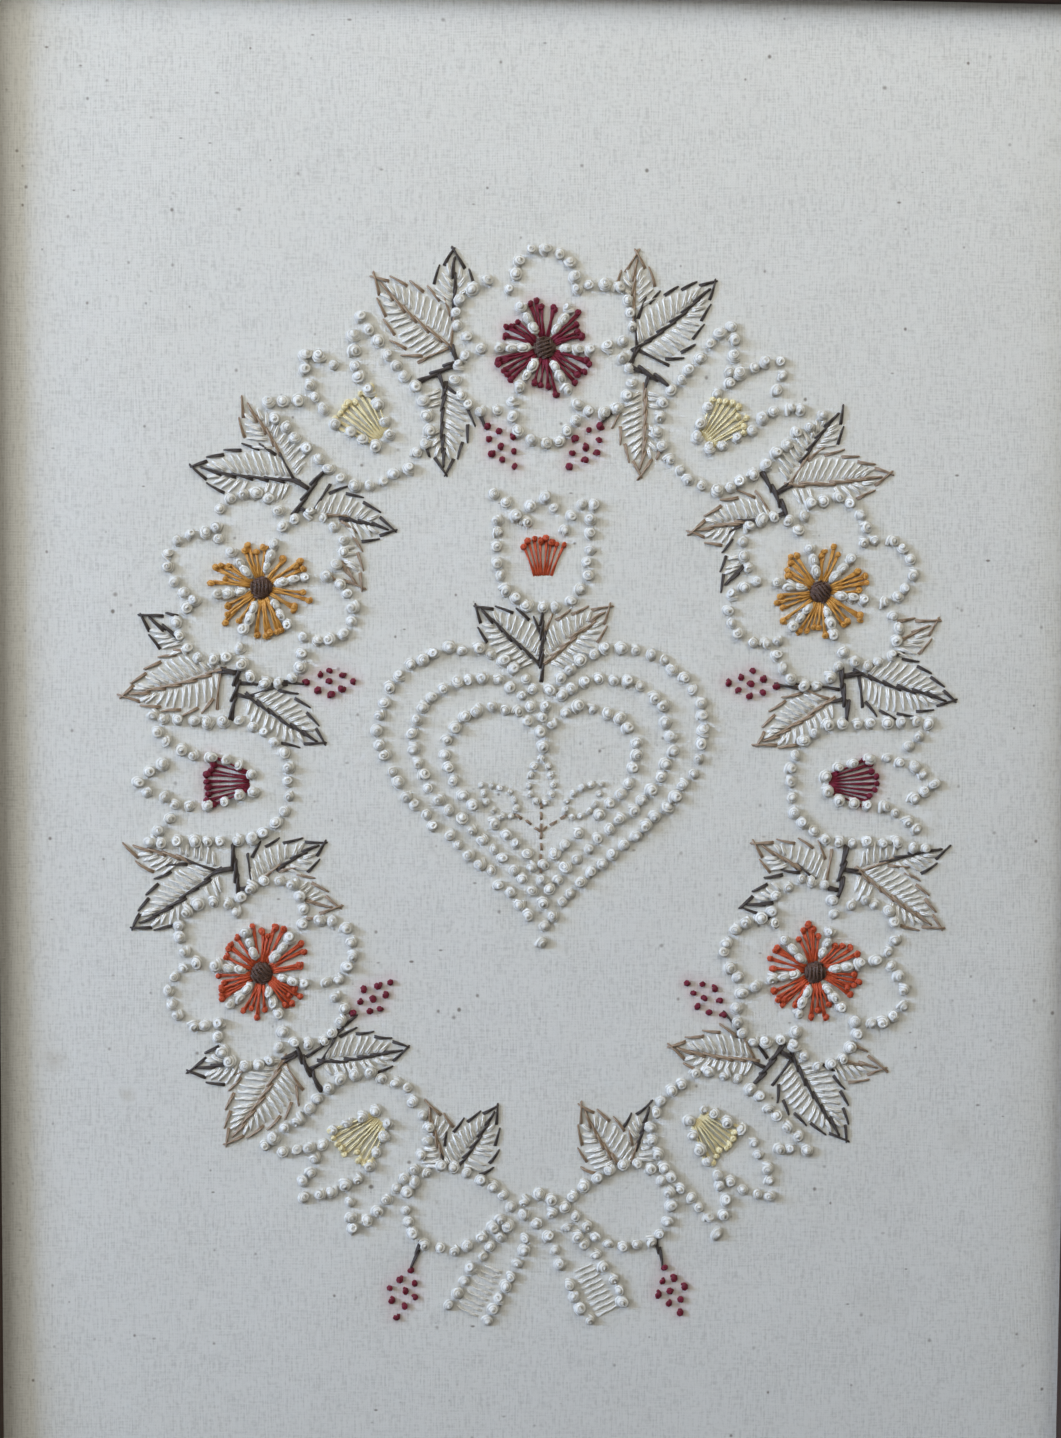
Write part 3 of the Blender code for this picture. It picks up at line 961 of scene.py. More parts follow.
class Stitch(NamedTuple):
    """One laid stitch: its plan from hole to hole, its thickness and how far it is lifted."""

    plan: np.ndarray
    thickness: float
    lift: float


@dataclass
class Muslin:
    """The stretched sheet, a little padded from behind and drawn in by its stitches."""

    node: str = "cloth"
    pitch: float = 0.0018
    thickness: float = 0.0005
    node_thickness: float = 0.0020
    lip_cover: float = 0.0052
    puff: float = 0.0023
    side_reach: float = 0.0065
    end_reach: float = 0.040
    ripple: float = 0.00020
    wave_scale: float = 38.0
    fine_wave_scale: float = 120.0
    fine_wave_share: float = 0.45
    knot_press: float = 0.00030
    knot_reach: float = 0.0022
    dye_strength: float = 0.30
    dye_reach: float = 0.0024

    def __post_init__(self) -> None:
        """Reads the sheet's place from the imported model."""
        low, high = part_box(self.node)
        self.half_width = high.x
        self.half_height = high.y
        self.level = low.z + self.node_thickness

    def height(self, places: np.ndarray) -> np.ndarray:
        """The sheet's height, before stitches press it.

        Args:
            places: Places in the plan, one a row.

        Returns:
            The height above the frame's back at each place.
        """
        x, y = places[:, 0], places[:, 1]
        from_side = np.clip(self.half_width - self.lip_cover - np.abs(x), 0, None)
        from_end = np.clip(self.half_height - self.lip_cover - np.abs(y), 0, None)
        swell = (1 - np.exp(-from_side / self.side_reach)) * (1 - np.exp(-from_end / self.end_reach))
        waves = np.array([self._wave(a, b) for a, b in places])
        return self.level + swell * (self.puff + self.ripple * waves)

    def _wave(self, x: float, y: float) -> float:
        """The sheet's soft waves at a place, from about -1 to 1."""
        wide, fine = self.wave_scale, self.fine_wave_scale
        soft = noise.noise((x * wide, y * wide, 3))
        return soft + self.fine_wave_share * noise.noise((x * fine, y * fine, 9))

    def build(self, needle: Needlework) -> bpy.types.Object:
        """Makes the sheet, pressed down by its knots and tinted by its dark threads.

        Args:
            needle: The needlework on the sheet.

        Returns:
            The sheet.
        """
        bm = bmesh.new()
        columns = round(2 * self.half_width / self.pitch)
        rows = round(2 * self.half_height / self.pitch)
        bmesh.ops.create_grid(bm, x_segments=columns, y_segments=rows, size=1)
        plan = np.array([(v.co.x, v.co.y) for v in bm.verts]) * (self.half_width, self.half_height)
        every_knot = [knot for knots in needle.knots.values() for knot in knots]
        heights = self.height(plan) - self.knot_press * self._nearness(plan, every_knot, self.knot_reach)
        dye = self.dye_strength * self._nearness(plan, needle.knots[Yarn.CRIMSON], self.dye_reach)
        for vert, (x, y), z in zip(bm.verts, plan, heights):
            vert.co = (x, y, z)
        mesh = bpy.data.meshes.new("muslin_sheet")
        bm.to_mesh(mesh)
        bm.free()
        give_attribute(mesh, "dye", dye)
        mesh.shade_smooth()
        sheet = linked("muslin_sheet", mesh)
        shell = sheet.modifiers.new("thickness", "SOLIDIFY")
        shell.thickness = self.thickness
        shell.offset = -1
        mesh.materials.append(MuslinFinish().material("muslin"))
        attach(sheet, BODY)
        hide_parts(self.node)
        flat = (2 * self.half_width, 2 * self.half_height)
        return sheet

    def _nearness(self, plan: np.ndarray, knots: list[Knot], reach: float) -> np.ndarray:
        """How near each place is to a knot.

        Args:
            plan: Places, one a row.
            knots: The knots.
            reach: How far a knot is felt.

        Returns:
            1 at a knot, falling to 0 beyond its reach.
        """
        tree = KDTree(len(knots))
        for i, knot in enumerate(knots):
            tree.insert((knot.x, knot.y, 0), i)
        tree.balance()
        away = np.array([tree.find((x, y, 0))[2] for x, y in plan])
        return np.exp(-((away / reach) ** 2))


@dataclass
class Needlework:
    """Every knot and stitch, gathered by yarn as the motifs are worked, then made."""

    muslin: Muslin
    seed: int = 21
    knot_radius: float = 0.00197
    wound_radius: float = 0.00166
    bead_radius: float = 0.00112
    knot_pitch: float = 0.00410
    crowding: float = 0.0030
    wander: float = 0.00030
    size_range: Pair = (0.88, 1.12)
    stretch_range: Pair = (0.94, 1.22)
    axis_range: Pair = (0.95, 1.05)
    tilt: float = 0.22
    sink: float = 0.0001
    thickness_range: Pair = (0.92, 1.08)
    end_wander: float = 0.10
    bow_wander: float = 0.12
    bend_shares: tuple[float, ...] = (0, 0.09, 0.32, 0.68, 0.91, 1)
    bend_heights: tuple[float, ...] = (-1.5, 0.45, 1.0, 1.0, 0.45, -1.5)
    height_share: float = 0.36
    cover_samples: int = 8
    least_seen: int = 5
    stem_overlap: float = 0.22
    stem_slant: float = 0.09
    stem_lift: float = 0.0001
    knots: dict[Yarn, list[Knot]] = field(default_factory=lambda: {yarn: [] for yarn in Yarn})
    stitches: dict[Yarn, list[Stitch]] = field(default_factory=lambda: {yarn: [] for yarn in Yarn})
    covers: list[np.ndarray] = field(default_factory=list)

    def __post_init__(self) -> None:
        """Starts the fixed draw of small differences."""
        self.luck = np.random.default_rng(self.seed)

    def hides(self, places: np.ndarray) -> np.ndarray:
        """Which places a motif in front hides.

        Args:
            places: The places, one a row.

        Returns:
            True for each place that lies inside a cover.
        """
        x, y = places[:, :1], places[:, 1:]
        hidden = np.zeros(len(places), bool)
        for a in self.covers:
            b = np.roll(a, -1, axis=0)
            spans = (a[:, 1] > y) != (b[:, 1] > y)
            rise = np.where(b[:, 1] == a[:, 1], 1, b[:, 1] - a[:, 1])
            crossed = spans & (x < a[:, 0] + (b[:, 0] - a[:, 0]) * (y - a[:, 1]) / rise)
            hidden |= crossed.sum(axis=1) % 2 == 1
        return hidden

    def shown_part(self, start: np.ndarray, end: np.ndarray) -> Line | None:
        """The part of a stitch that no motif in front hides.

        Args:
            start: Where the thread comes up.
            end: Where it goes down.

        Returns:
            The start and end of that part, or None if too little shows.
        """
        places = start + np.linspace(0, 1, self.cover_samples)[:, None] * (end - start)
        seen = places[~self.hides(places)]
        return (seen[0], seen[-1]) if len(seen) >= self.least_seen else None

    def tie(
        self,
        place: np.ndarray,
        yarn: Yarn,
        radius: float = 0.0,
        angle: float | None = None,
        stretch: float = 1.0,
    ) -> None:
        """Ties one knot.

        Args:
            place: Where.
            yarn: Of which yarn.
            radius: Its radius, or 0 for a small bead's.
            angle: The way that it is drawn long, or None for any.
            stretch: How far it is drawn long.
        """
        size = (radius or self.bead_radius) * self.luck.uniform(*self.size_range)
        turn = self.luck.uniform(0, 2 * pi) if angle is None else angle
        drawn = stretch * self.luck.uniform(*self.stretch_range)
        self.knots[yarn].append(Knot(place[0], place[1], size, turn, drawn))

    def tie_row(self, points: np.ndarray, closed: bool) -> None:
        """Ties a row of white knots, skipping those that would crowd one already tied.

        Args:
            points: The row.
            closed: Whether it joins up.
        """
        for place in evenly(points, closed, self.knot_pitch):
            self.tie_white(place + self.luck.normal(0, self.wander, 2))

    def tie_white(self, place: np.ndarray, angle: float | None = None, stretch: float = 1.0) -> None:
        """Ties one white knot, if it has room.

        Args:
            place: Where.
            angle: The way that it is drawn long, or None for any.
            stretch: How far it is drawn long.
        """
        tied = self.knots[Yarn.CANDLEWICK]
        if all(hypot(place[0] - k.x, place[1] - k.y) >= self.crowding for k in tied):
            self.tie(place, Yarn.CANDLEWICK, self.knot_radius, angle, stretch)

    def lay(
        self, start: Any, end: Any, yarn: Yarn, thickness: float, lift: float = 0.0, behind: bool = False
    ) -> None:
        """Lays one straight stitch.

        Args:
            start: Where the thread comes up.
            end: Where it goes down.
            yarn: Of which yarn.
            thickness: How thick the thread lies.
            lift: How far it lies over other threads.
            behind: Whether it ends where a motif in front hides it.
        """
        start, end = np.asarray(start, float), np.asarray(end, float)
        if behind:
            part = self.shown_part(start, end)
            if part is None:
                return
            start, end = part
        ends = np.array([start, end]) + self.luck.normal(0, thickness * self.end_wander, (2, 2))
        share = np.array(self.bend_shares)[:, None]
        bow = np.sin(pi * share) * self.luck.normal(0, thickness * self.bow_wander, 2)
        plan = ends[0] + share * (ends[1] - ends[0]) + bow
        pulled = thickness * self.luck.uniform(*self.thickness_range)
        self.stitches[yarn].append(Stitch(plan, pulled, lift))

    def lay_seen(
        self,
        lines: list[Line],
        yarn: Yarn,
        thickness: float,
        lift: float,
        least: int,
    ) -> None:
        """Lays a row of stitches as far as it shows, without short remnants of the row.

        Args:
            lines: Each stitch's start and end, in order.
            yarn: Of which yarn.
            thickness: How thick the thread lies.
            lift: How far it lies over other threads.
            least: How many stitches side by side must show, for any of them to be laid.
        """
        parts = [self.shown_part(*line) for line in lines]
        for is_hidden, run in groupby(parts, lambda part: part is None):
            shown = list(run)
            if not is_hidden and len(shown) >= least:
                for start, end in shown:
                    self.lay(start, end, yarn, thickness, lift)

    def lay_stem(self, points: np.ndarray, yarn: Yarn, thickness: float, behind: bool = False) -> None:
        """Lays overlapping stem stitches along a line.

        Args:
            points: The line, a stitch's length apart.
            yarn: Of which yarn.
            thickness: How thick the thread lies.
            behind: Whether hidden stitches are left out.
        """
        for i, (a, b) in enumerate(zip(points[:-1], points[1:])):
            aside = (b - a)[::-1] * (1, -1) * self.stem_slant
            over = self.stem_overlap * (b - a)
            lift = self.stem_lift * (i % 2)
            self.lay(a - over - aside, b + over + aside, yarn, thickness, lift, behind)

    def make(self) -> list[bpy.types.Object]:
        """Makes every knot and stitch, a piece for each yarn and kind.

        Returns:
            The pieces.
        """
        knot_maker, thread_maker = knot_tree(), thread_tree()
        pieces = []
        for yarn in Yarn:
            material = THREADS[yarn].material(yarn.value)
            shapes = WHITE_KNOTS if yarn is Yarn.CANDLEWICK else (BEAD,)
            for number, shape in enumerate(shapes):
                knots = self.knots[yarn][number :: len(shapes)]
                if knots:
                    seeds = self._knot_seeds(f"{yarn.value}_knots_{number + 1}", knots)
                    pieces.append(knot_maker.run(seeds, {**shape.values(), "Material": material}))
            if self.stitches[yarn]:
                paths = self._stitch_paths(yarn)
                pieces.append(thread_maker.run(paths, {"Material": material}))
        for piece in pieces:
            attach(piece, BODY)
        return pieces

    def _knot_seeds(self, name: str, knots: list[Knot]) -> bpy.types.Object:
        """Sets out the points where knots are tied.

        Args:
            name: The object's name.
            knots: The knots.

        Returns:
            An object of loose points.
        """
        plan = np.array([(k.x, k.y) for k in knots])
        count = len(plan)
        radius, angle, stretch = np.array([(k.radius, k.angle, k.stretch) for k in knots]).T
        size = np.stack([stretch**-0.5, stretch**0.5, np.ones(count)], axis=1)
        size = size * (radius / self.wound_radius)[:, None]
        size = size * self.luck.uniform(*self.axis_range, (count, 3))
        turn = np.column_stack([self.luck.normal(0, self.tilt, (count, 2)), -angle])
        points = np.column_stack([plan, self.muslin.height(plan) - self.sink])
        attributes = {"size": size, "turn": turn, "tone": self.luck.random(count)}
        return seed_mesh(name, points, [], attributes)

    def _stitch_paths(self, yarn: Yarn) -> bpy.types.Object:
        """Sets out the paths of a yarn's stitches, each from under the sheet and back.

        Args:
            yarn: The yarn.

        Returns:
            An object of loose paths.
        """
        stitches = self.stitches[yarn]
        steps = len(stitches[0].plan)
        plan = np.vstack([s.plan for s in stitches])
        arch = np.tile(self.bend_heights, len(stitches))
        thick = np.repeat([s.thickness for s in stitches], steps)
        lift = np.repeat([s.lift for s in stitches], steps)
        tone = np.repeat(self.luck.random(len(stitches)), steps)
        rise = arch * thick * self.height_share + np.clip(arch, 0, None) * lift
        points = np.column_stack([plan, self.muslin.height(plan) + rise])
        edges = [(i, i + 1) for i in range(len(points) - 1) if (i + 1) % steps]
        return seed_mesh(f"{yarn.value}_stitches", points, edges, {"thick": thick, "tone": tone})


@dataclass
class Daisy:
    """A round flower: knotted petals, spokes of knots and a burst of stamens round a satin centre."""

    centre: np.ndarray
    turn: float
    yarn: Yarn
    radius: float = 0.027
    petals: int = 6
    notch: float = 0.60
    roundness: float = 0.55
    bunches: tuple[int, ...] = (5, 4, 5, 4, 5, 4)
    bunch_spread: float = 0.66
    stamen_start: float = 0.0026
    stamen_reach: Pair = (0.0098, 0.0140)
    stamen_thickness: float = 0.00112
    stamen_wander: float = 0.035
    stamen_lift: float = 0.0005
    spokes: tuple[Pair, ...] = ((0.0062, 1.35), (0.0094, 1.35), (0.0128, 1.0))
    spoke_lean: float = 0.04
    eye_radius: float = 0.0030
    eye_stitches: tuple[int, int] = (10, 6)
    eye_thread: float = 0.0009
    eye_rise: float = 0.0011
    eye_layer: float = 0.0004
    eye_turn: float = 1.2

    def outline(self) -> np.ndarray:
        """The petals' knot row."""
        angle = ring_angles(steps=FINE_RING_STEPS)
        swell = np.abs(np.cos(self.petals * angle / 2)) ** self.roundness
        radius = self.radius * (self.notch + (1 - self.notch) * swell)
        row = np.stack([radius * np.sin(angle), radius * np.cos(angle)], axis=1)
        return placed(row, self.centre, self.turn)

    def work(self, needle: Needlework) -> None:
        """Works the flower.

        Args:
            needle: Where its knots and stitches go.
        """
        needle.tie_row(self.outline(), True)
        self._work_spokes(needle)
        self._work_stamens(needle)
        self._work_eye(needle)

    def _work_spokes(self, needle: Needlework) -> None:
        """Ties the short rows of white knots between the bunches of stamens.

        Args:
            needle: Where its knots and stitches go.
        """
        for petal in range(self.petals):
            angle = self.turn + 2 * pi * (petal + 0.5) / self.petals
            way = heading(angle + needle.luck.normal(0, self.spoke_lean))
            for reach, stretch in self.spokes:
                needle.tie_white(self.centre + reach * way, angle, stretch)

    def _work_stamens(self, needle: Needlework) -> None:
        """Lays each petal's bunch of stamens, each ending in a bead.

        Args:
            needle: Where its knots and stitches go.
        """
        for petal, count in enumerate(self.bunches):
            middle = self.turn + 2 * pi * petal / self.petals
            for i in range(count):
                angle = middle + self.bunch_spread * ((i + 0.5) / count - 0.5)
                way = heading(angle + needle.luck.normal(0, self.stamen_wander))
                tip = self.centre + needle.luck.uniform(*self.stamen_reach) * way
                start = self.centre + self.stamen_start * way
                lift = needle.luck.uniform(0, self.stamen_lift)
                needle.lay(start, tip, self.yarn, self.stamen_thickness, lift)
                needle.tie(tip, self.yarn)

    def _work_eye(self, needle: Needlework) -> None:
        """Lays the centre's two layers of satin stitches, one across the other.

        Args:
            needle: Where its knots and stitches go.
        """
        for layer, count in enumerate(self.eye_stitches):
            rise = self.eye_rise + self.eye_layer * layer
            for x in self.eye_radius * ((2 * np.arange(count) + 1) / count - 1):
                half = (self.eye_radius**2 - x * x) ** 0.5
                ends = placed([(x, -half), (x, half)], self.centre, self.turn + self.eye_turn * layer)
                needle.lay(*ends, Yarn.CENTRE, self.eye_thread, rise * half / self.eye_radius)


@dataclass
class Tulip:
    """A cup-shaped flower with flared tips, and a fan of stamens between its folds."""

    centre: np.ndarray
    turn: float
    yarn: Yarn
    fan_base: np.ndarray
    share: float = 1.0
    width: float = 0.034
    height: float = 0.042
    half_cup: tuple[Arc, ...] = (
        ((0.0, -0.50), (0.52, -0.50), (0.50, -0.02)),
        ((0.50, -0.02), (0.49, 0.22), (0.56, 0.46)),
        ((0.56, 0.46), (0.30, 0.36), (0.21, 0.14)),
        ((0.21, 0.14), (0.15, 0.38), (0.0, 0.50)),
    )
    fold: Arc = ((0.21, 0.14), (0.20, -0.10), (0.07, -0.26))
    has_folds: bool = True
    stamens: int = 9
    stamen_thickness: float = 0.00084
    stamen_lift: float = 0.0004
    foot_pitch: float = 0.0006
    fan: float = 1.3
    reach: Pair = (0.0112, 0.0142)

    def _row(self, arcs: tuple[Arc, ...]) -> np.ndarray:
        """Arcs that follow each other, given as shares of the cup's width and height."""
        shares = np.vstack([*(bend(*arc) for arc in arcs), [arcs[-1][-1]]])
        return shares * (self.width * self.share, self.height * self.share)

    def outline(self) -> np.ndarray:
        """The cup's knot row."""
        right = self._row(self.half_cup)
        return placed(np.vstack([right, right[-2:0:-1] * [-1, 1]]), self.centre, self.turn)

    def folds(self) -> list[np.ndarray]:
        """The knot rows down the middle petal's two edges."""
        row = self._row((self.fold,))
        return [placed(row * (side, 1), self.centre, self.turn) for side in (-1, 1)]

    def work(self, needle: Needlework) -> None:
        """Works the flower.

        Args:
            needle: Where its knots and stitches go.
        """
        needle.tie_row(self.outline(), True)
        if self.has_folds:
            for row in self.folds():
                needle.tie_row(row, False)
        aside = heading(self.turn + pi / 2)
        for i in range(self.stamens):
            way = heading(self.turn + self.fan * ((i + 0.5) / self.stamens - 0.5))
            tip = self.fan_base + needle.luck.uniform(*self.reach) * way
            start = self.fan_base + self.foot_pitch * aside * (i - (self.stamens - 1) / 2)
            lift = needle.luck.uniform(0, self.stamen_lift)
            needle.lay(start, tip, self.yarn, self.stamen_thickness, lift)
            needle.tie(tip, self.yarn)


@dataclass
class Hearts:
    """Three nested hearts of knots."""

    centre: Pair = (0.0, -0.006)
    widths: Triple = (0.092, 0.073, 0.054)
    curve_half: int = 16
    waves: tuple[float, ...] = (2, 13, -5, -2, -1)

    def outline(self, width: float) -> np.ndarray:
        """One heart's knot row, of that width, from the usual curve of sines and cosines."""
        t = ring_angles(steps=FINE_RING_STEPS)
        x = self.curve_half * np.sin(t) ** 3
        y = sum(size * np.cos(times * t) for times, size in enumerate(self.waves))
        return placed(np.stack([x, y], axis=1) * width / (2 * self.curve_half), self.centre)

    def work(self, needle: Needlework) -> None:
        """Works the hearts.

        Args:
            needle: Where their knots go.
        """
        for width in self.widths:
            needle.tie_row(self.outline(width), True)


@dataclass
class Bow:
    """A ribbon bow: a ring, two loops and two ends with two edges each."""

    centre: np.ndarray
    reach: float = 0.0305
    rise: float = 0.034
    ring_radius: float = 0.0042
    loop_gap: float = 0.0034
    end_edges: tuple[Arc, ...] = (
        ((0.002, -0.005), (0.006, -0.018), (0.015, -0.034)),
        ((0.005, -0.003), (0.015, -0.010), (0.026, -0.029)),
    )
    edge_points: int = 40
    band_stitches: int = 9
    band_pitch: float = 0.0018
    band_gap: float = 0.0024
    band_thread: float = 0.0008

    def ring(self) -> np.ndarray:
        """The ring's knot row."""
        angle = ring_angles()
        return placed(self.ring_radius * np.stack([np.sin(angle), np.cos(angle)], axis=1), self.centre)

    def loops(self) -> list[np.ndarray]:
        """The two loops' knot rows."""
        angle = ring_angles(-pi / 4, pi / 4)
        swell = np.sqrt(np.clip(np.cos(2 * angle), 0, None))
        loop = np.stack([self.reach * swell * np.cos(angle), self.rise * swell * np.sin(angle)], axis=1)
        loop = loop + (self.ring_radius + self.loop_gap, 0)
        return [placed(loop * (side, 1), self.centre) for side in (-1, 1)]

    def work(self, needle: Needlework) -> None:
        """Works the bow.

        Args:
            needle: Where its knots and stitches go.
        """
        needle.tie_row(self.ring(), True)
        for side, loop in zip((-1, 1), self.loops()):
            needle.tie_row(loop, True)
            arcs = [bend(*edge, self.edge_points) for edge in self.end_edges]
            edges = [placed(arc * (side, 1), self.centre) for arc in arcs]
            for edge in edges:
                needle.tie_row(edge[~needle.hides(edge)], False)
            inner, outer = (evenly(edge, False, self.band_pitch)[-self.band_stitches :] for edge in edges)
            for a, b in zip(inner, outer):
                gap = (b - a) / np.linalg.norm(b - a) * self.band_gap
                needle.lay(a + gap, b - gap, Yarn.WHITE, self.band_thread)


@dataclass
class Leaf:
    """A leaf: shingled outline stitches, a stemmed midrib and white slanting fill."""

    base: np.ndarray
    angle: float
    length: float
    width: float
    yarn: Yarn
    root: np.ndarray | None = None
    curl: float = 0.0
    half_share: float = 0.53
    narrowing: float = 0.30
    swell_shift: float = 0.7
    swell_power: float = 0.85
    outline_points: int = 20
    thread: float = 0.00094
    stitch_length: float = 0.0055
    stitch_overlap: float = 1.06
    edge_inset: float = 0.0004
    edge_lift: float = 0.00015
    least_edge: int = 2
    kink: float = 0.0017
    kink_range: Pair = (0.7, 1.2)
    kink_fade: float = 1.25
    tip_tuck: float = -0.0003
    brown_overrun: float = 0.06
    tan_overrun: float = 0.12
    overrun_wander: float = 0.03
    rib_stitches: int = 7
    rib_span: Pair = (-0.03, 0.88)
    rib_share: float = 1.2
    fill_pitch: float = 0.00190
    fill_slants: Pair = (0.06, 0.10)
    fill_thread: float = 0.00112
    fill_shift: float = 0.3
    fill_wander: float = 0.1
    fill_end: float = 0.97
    fill_start: float = 0.0009
    fill_inset: float = 0.0008
    fill_shortening: float = 0.0003
    shortest_fill: float = 0.0012
    least_fill: int = 3
    twig_thread: float = 0.0012
    twig_lift: float = 0.0003

    def at(self, along: Any, across: Any) -> np.ndarray:
        """Places on the leaf.

        Args:
            along: Shares of its length.
            across: How far to the right of its midrib.

        Returns:
            The places, one a row.
        """
        along, across = np.broadcast_arrays(np.atleast_1d(along), across)
        across = across + self.curl * self.length * along**2
        return placed(np.stack([across, along * self.length], axis=1), self.base, self.angle)

    def half_width(self, along: Any) -> Any:
        """How far the edge lies from the midrib at shares of the length."""
        along = np.clip(along, 0, 1)
        swell = np.sin(pi * along**self.swell_shift) ** self.swell_power
        return self.half_share * self.width * (swell * (1 - self.narrowing * along**2))

    def outline(self) -> np.ndarray:
        """The leaf's edge, once round."""
        along = np.linspace(0, 1, self.outline_points)
        half = self.half_width(along)
        return np.vstack([self.at(along, half), self.at(along, -half)[::-1]])

    def work(self, needle: Needlework) -> None:
        """Works the leaf, leaving out what a motif in front hides.

        Args:
            needle: Where its stitches go.
        """
        for side in (-1, 1):
            edge = self._edge(side, needle.luck)
            fill = self._fill(side, needle.luck)
            needle.lay_seen(edge, self.yarn, self.thread, self.edge_lift, self.least_edge)
            needle.lay_seen(fill, Yarn.WHITE, self.fill_thread, 0.0, self.least_fill)
        if self.root is not None:
            foot = self.base + self.twig_thread * heading(self.angle)
            needle.lay(self.root, foot, Yarn.BROWN, self.twig_thread, self.twig_lift, True)
        rib = self.at(np.linspace(*self.rib_span, self.rib_stitches), 0.0)
        needle.lay_stem(rib, self.yarn, self.thread * self.rib_share, True)
        needle.covers.append(self.outline())

    def _edge(self, side: int, luck: np.random.Generator) -> list[Line]:
        """Sets out one side's outline stitches, each poking out over the start of the next.

        Args:
            side: 1 on the right of the midrib, -1 on the left.
            luck: The draw of small differences.

        Returns:
            Each stitch's start and end, from the leaf's foot to its tip.
        """
        shares = np.linspace(0, 1, round(self.stitch_overlap * self.length / self.stitch_length) + 1)
        overrun = self.brown_overrun if self.yarn is Yarn.BROWN else self.tan_overrun
        lines = []
        for low, high in zip(shares[:-1], shares[1:]):
            poke = self.tip_tuck
            if high < 1:
                poke = self.kink * luck.uniform(*self.kink_range) * (self.kink_fade - high)
            start = self.at(low, side * max(0.0, self.half_width(low) - self.edge_inset))[0]
            out = self.at(high, side * (self.half_width(high) + poke))[0]
            finish = out + (out - start) * (overrun + luck.normal(0, self.overrun_wander))
            lines.append((start, finish))
        return lines

    def _fill(self, side: int, luck: np.random.Generator) -> list[Line]:
        """Sets out one side's slanting fill, from the midrib to just inside the edge.

        Args:
            side: 1 on the right of the midrib, -1 on the left.
            luck: The draw of small differences.

        Returns:
            Each stitch's start and end, from the leaf's foot to its tip.
        """
        count = round(self.length / self.fill_pitch)
        least_slant, slant_gain = self.fill_slants
        lines = []
        for step in range(1, count):
            low = (step - self.fill_shift + luck.normal(0, self.fill_wander)) / count
            high = min(self.fill_end, low + least_slant + slant_gain * low)
            reach = self.half_width(high) - self.fill_inset - luck.uniform(0, self.fill_shortening)
            if reach > self.shortest_fill:
                lines.append(tuple(self.at([low, high], [side * self.fill_start, side * reach])))
        return lines


@dataclass
class BerrySpray:
    """A lozenge of crimson knots on a short twig."""

    base: np.ndarray
    angle: float
    rows: tuple[int, ...] = (1, 2, 3, 2, 1)
    twig: float = 0.009
    stitch_length: float = 0.0055
    thread: float = 0.0011
    lead: float = 0.001
    row_pitch: float = 0.0034
    column_pitch: float = 0.0038
    wander: float = 0.0003

    def work(self, needle: Needlework) -> None:
        """Works the spray.

        Args:
            needle: Where its knots and stitches go.
        """
        way = heading(self.angle)
        aside = heading(self.angle + pi / 2)
        steps = np.linspace(0, self.twig, round(self.twig / self.stitch_length) + 1)
        needle.lay_stem(self.base + steps[:, None] * way, Yarn.BROWN, self.thread, True)
        for row, count in enumerate(self.rows):
            for i in range(count):
                place = self.base + way * (self.twig + self.lead + row * self.row_pitch)
                place = place + aside * (i - (count - 1) / 2) * self.column_pitch
                place = place + needle.luck.normal(0, self.wander, 2)
                if not needle.hides(place[None]).any():
                    needle.tie(place, Yarn.CRIMSON)


@dataclass
class Sprig:
    """Three small buds of fine knots on running stitches, inside the hearts."""

    foot: Pair = (0.0, -0.030)
    fork: Pair = (0.0, -0.018)
    buds: tuple[Triple, ...] = (
        (0.0, -0.010, 0.0),
        (-0.0075, -0.013, -0.85),
        (0.0075, -0.013, 0.85),
    )
    bud_size: Pair = (0.0080, 0.0125)
    bud_taper: float = 0.6
    knot_radius: float = 0.00122
    knot_pitch: float = 0.0027
    wander: float = 0.0001
    dash: Pair = (0.0021, 0.0012)
    thread: float = 0.0008

    def bud(self, base: Pair, angle: float) -> np.ndarray:
        """A bud's teardrop row.

        Args:
            base: Its foot.
            angle: The way it points.

        Returns:
            The closed row.
        """
        t = ring_angles()
        width, length = self.bud_size
        across = width / 2 * np.sin(t) * np.sin(t / 2) ** self.bud_taper
        return placed(np.stack([across, length * (1 + np.cos(t)) / 2], axis=1), base, angle)

    def work(self, needle: Needlework) -> None:
        """Works the sprig.

        Args:
            needle: Where its knots and stitches go.
        """
        lines = [np.array([self.foot, self.fork])]
        for x, y, angle in self.buds:
            lines.append(np.array([self.fork, (x, y)]))
            for place in evenly(self.bud((x, y), angle), True, self.knot_pitch):
                place = place + needle.luck.normal(0, self.wander, 2)
                needle.tie(place, Yarn.CANDLEWICK, self.knot_radius)
        for line in lines:
            run = line[1] - line[0]
            length = float(np.linalg.norm(run))
            way = run / length
            for start in np.arange(0.0, length - self.dash[1], sum(self.dash)):
                end = min(length, start + self.dash[0])
                needle.lay(line[0] + way * start, line[0] + way * end, Yarn.TAN, self.thread)


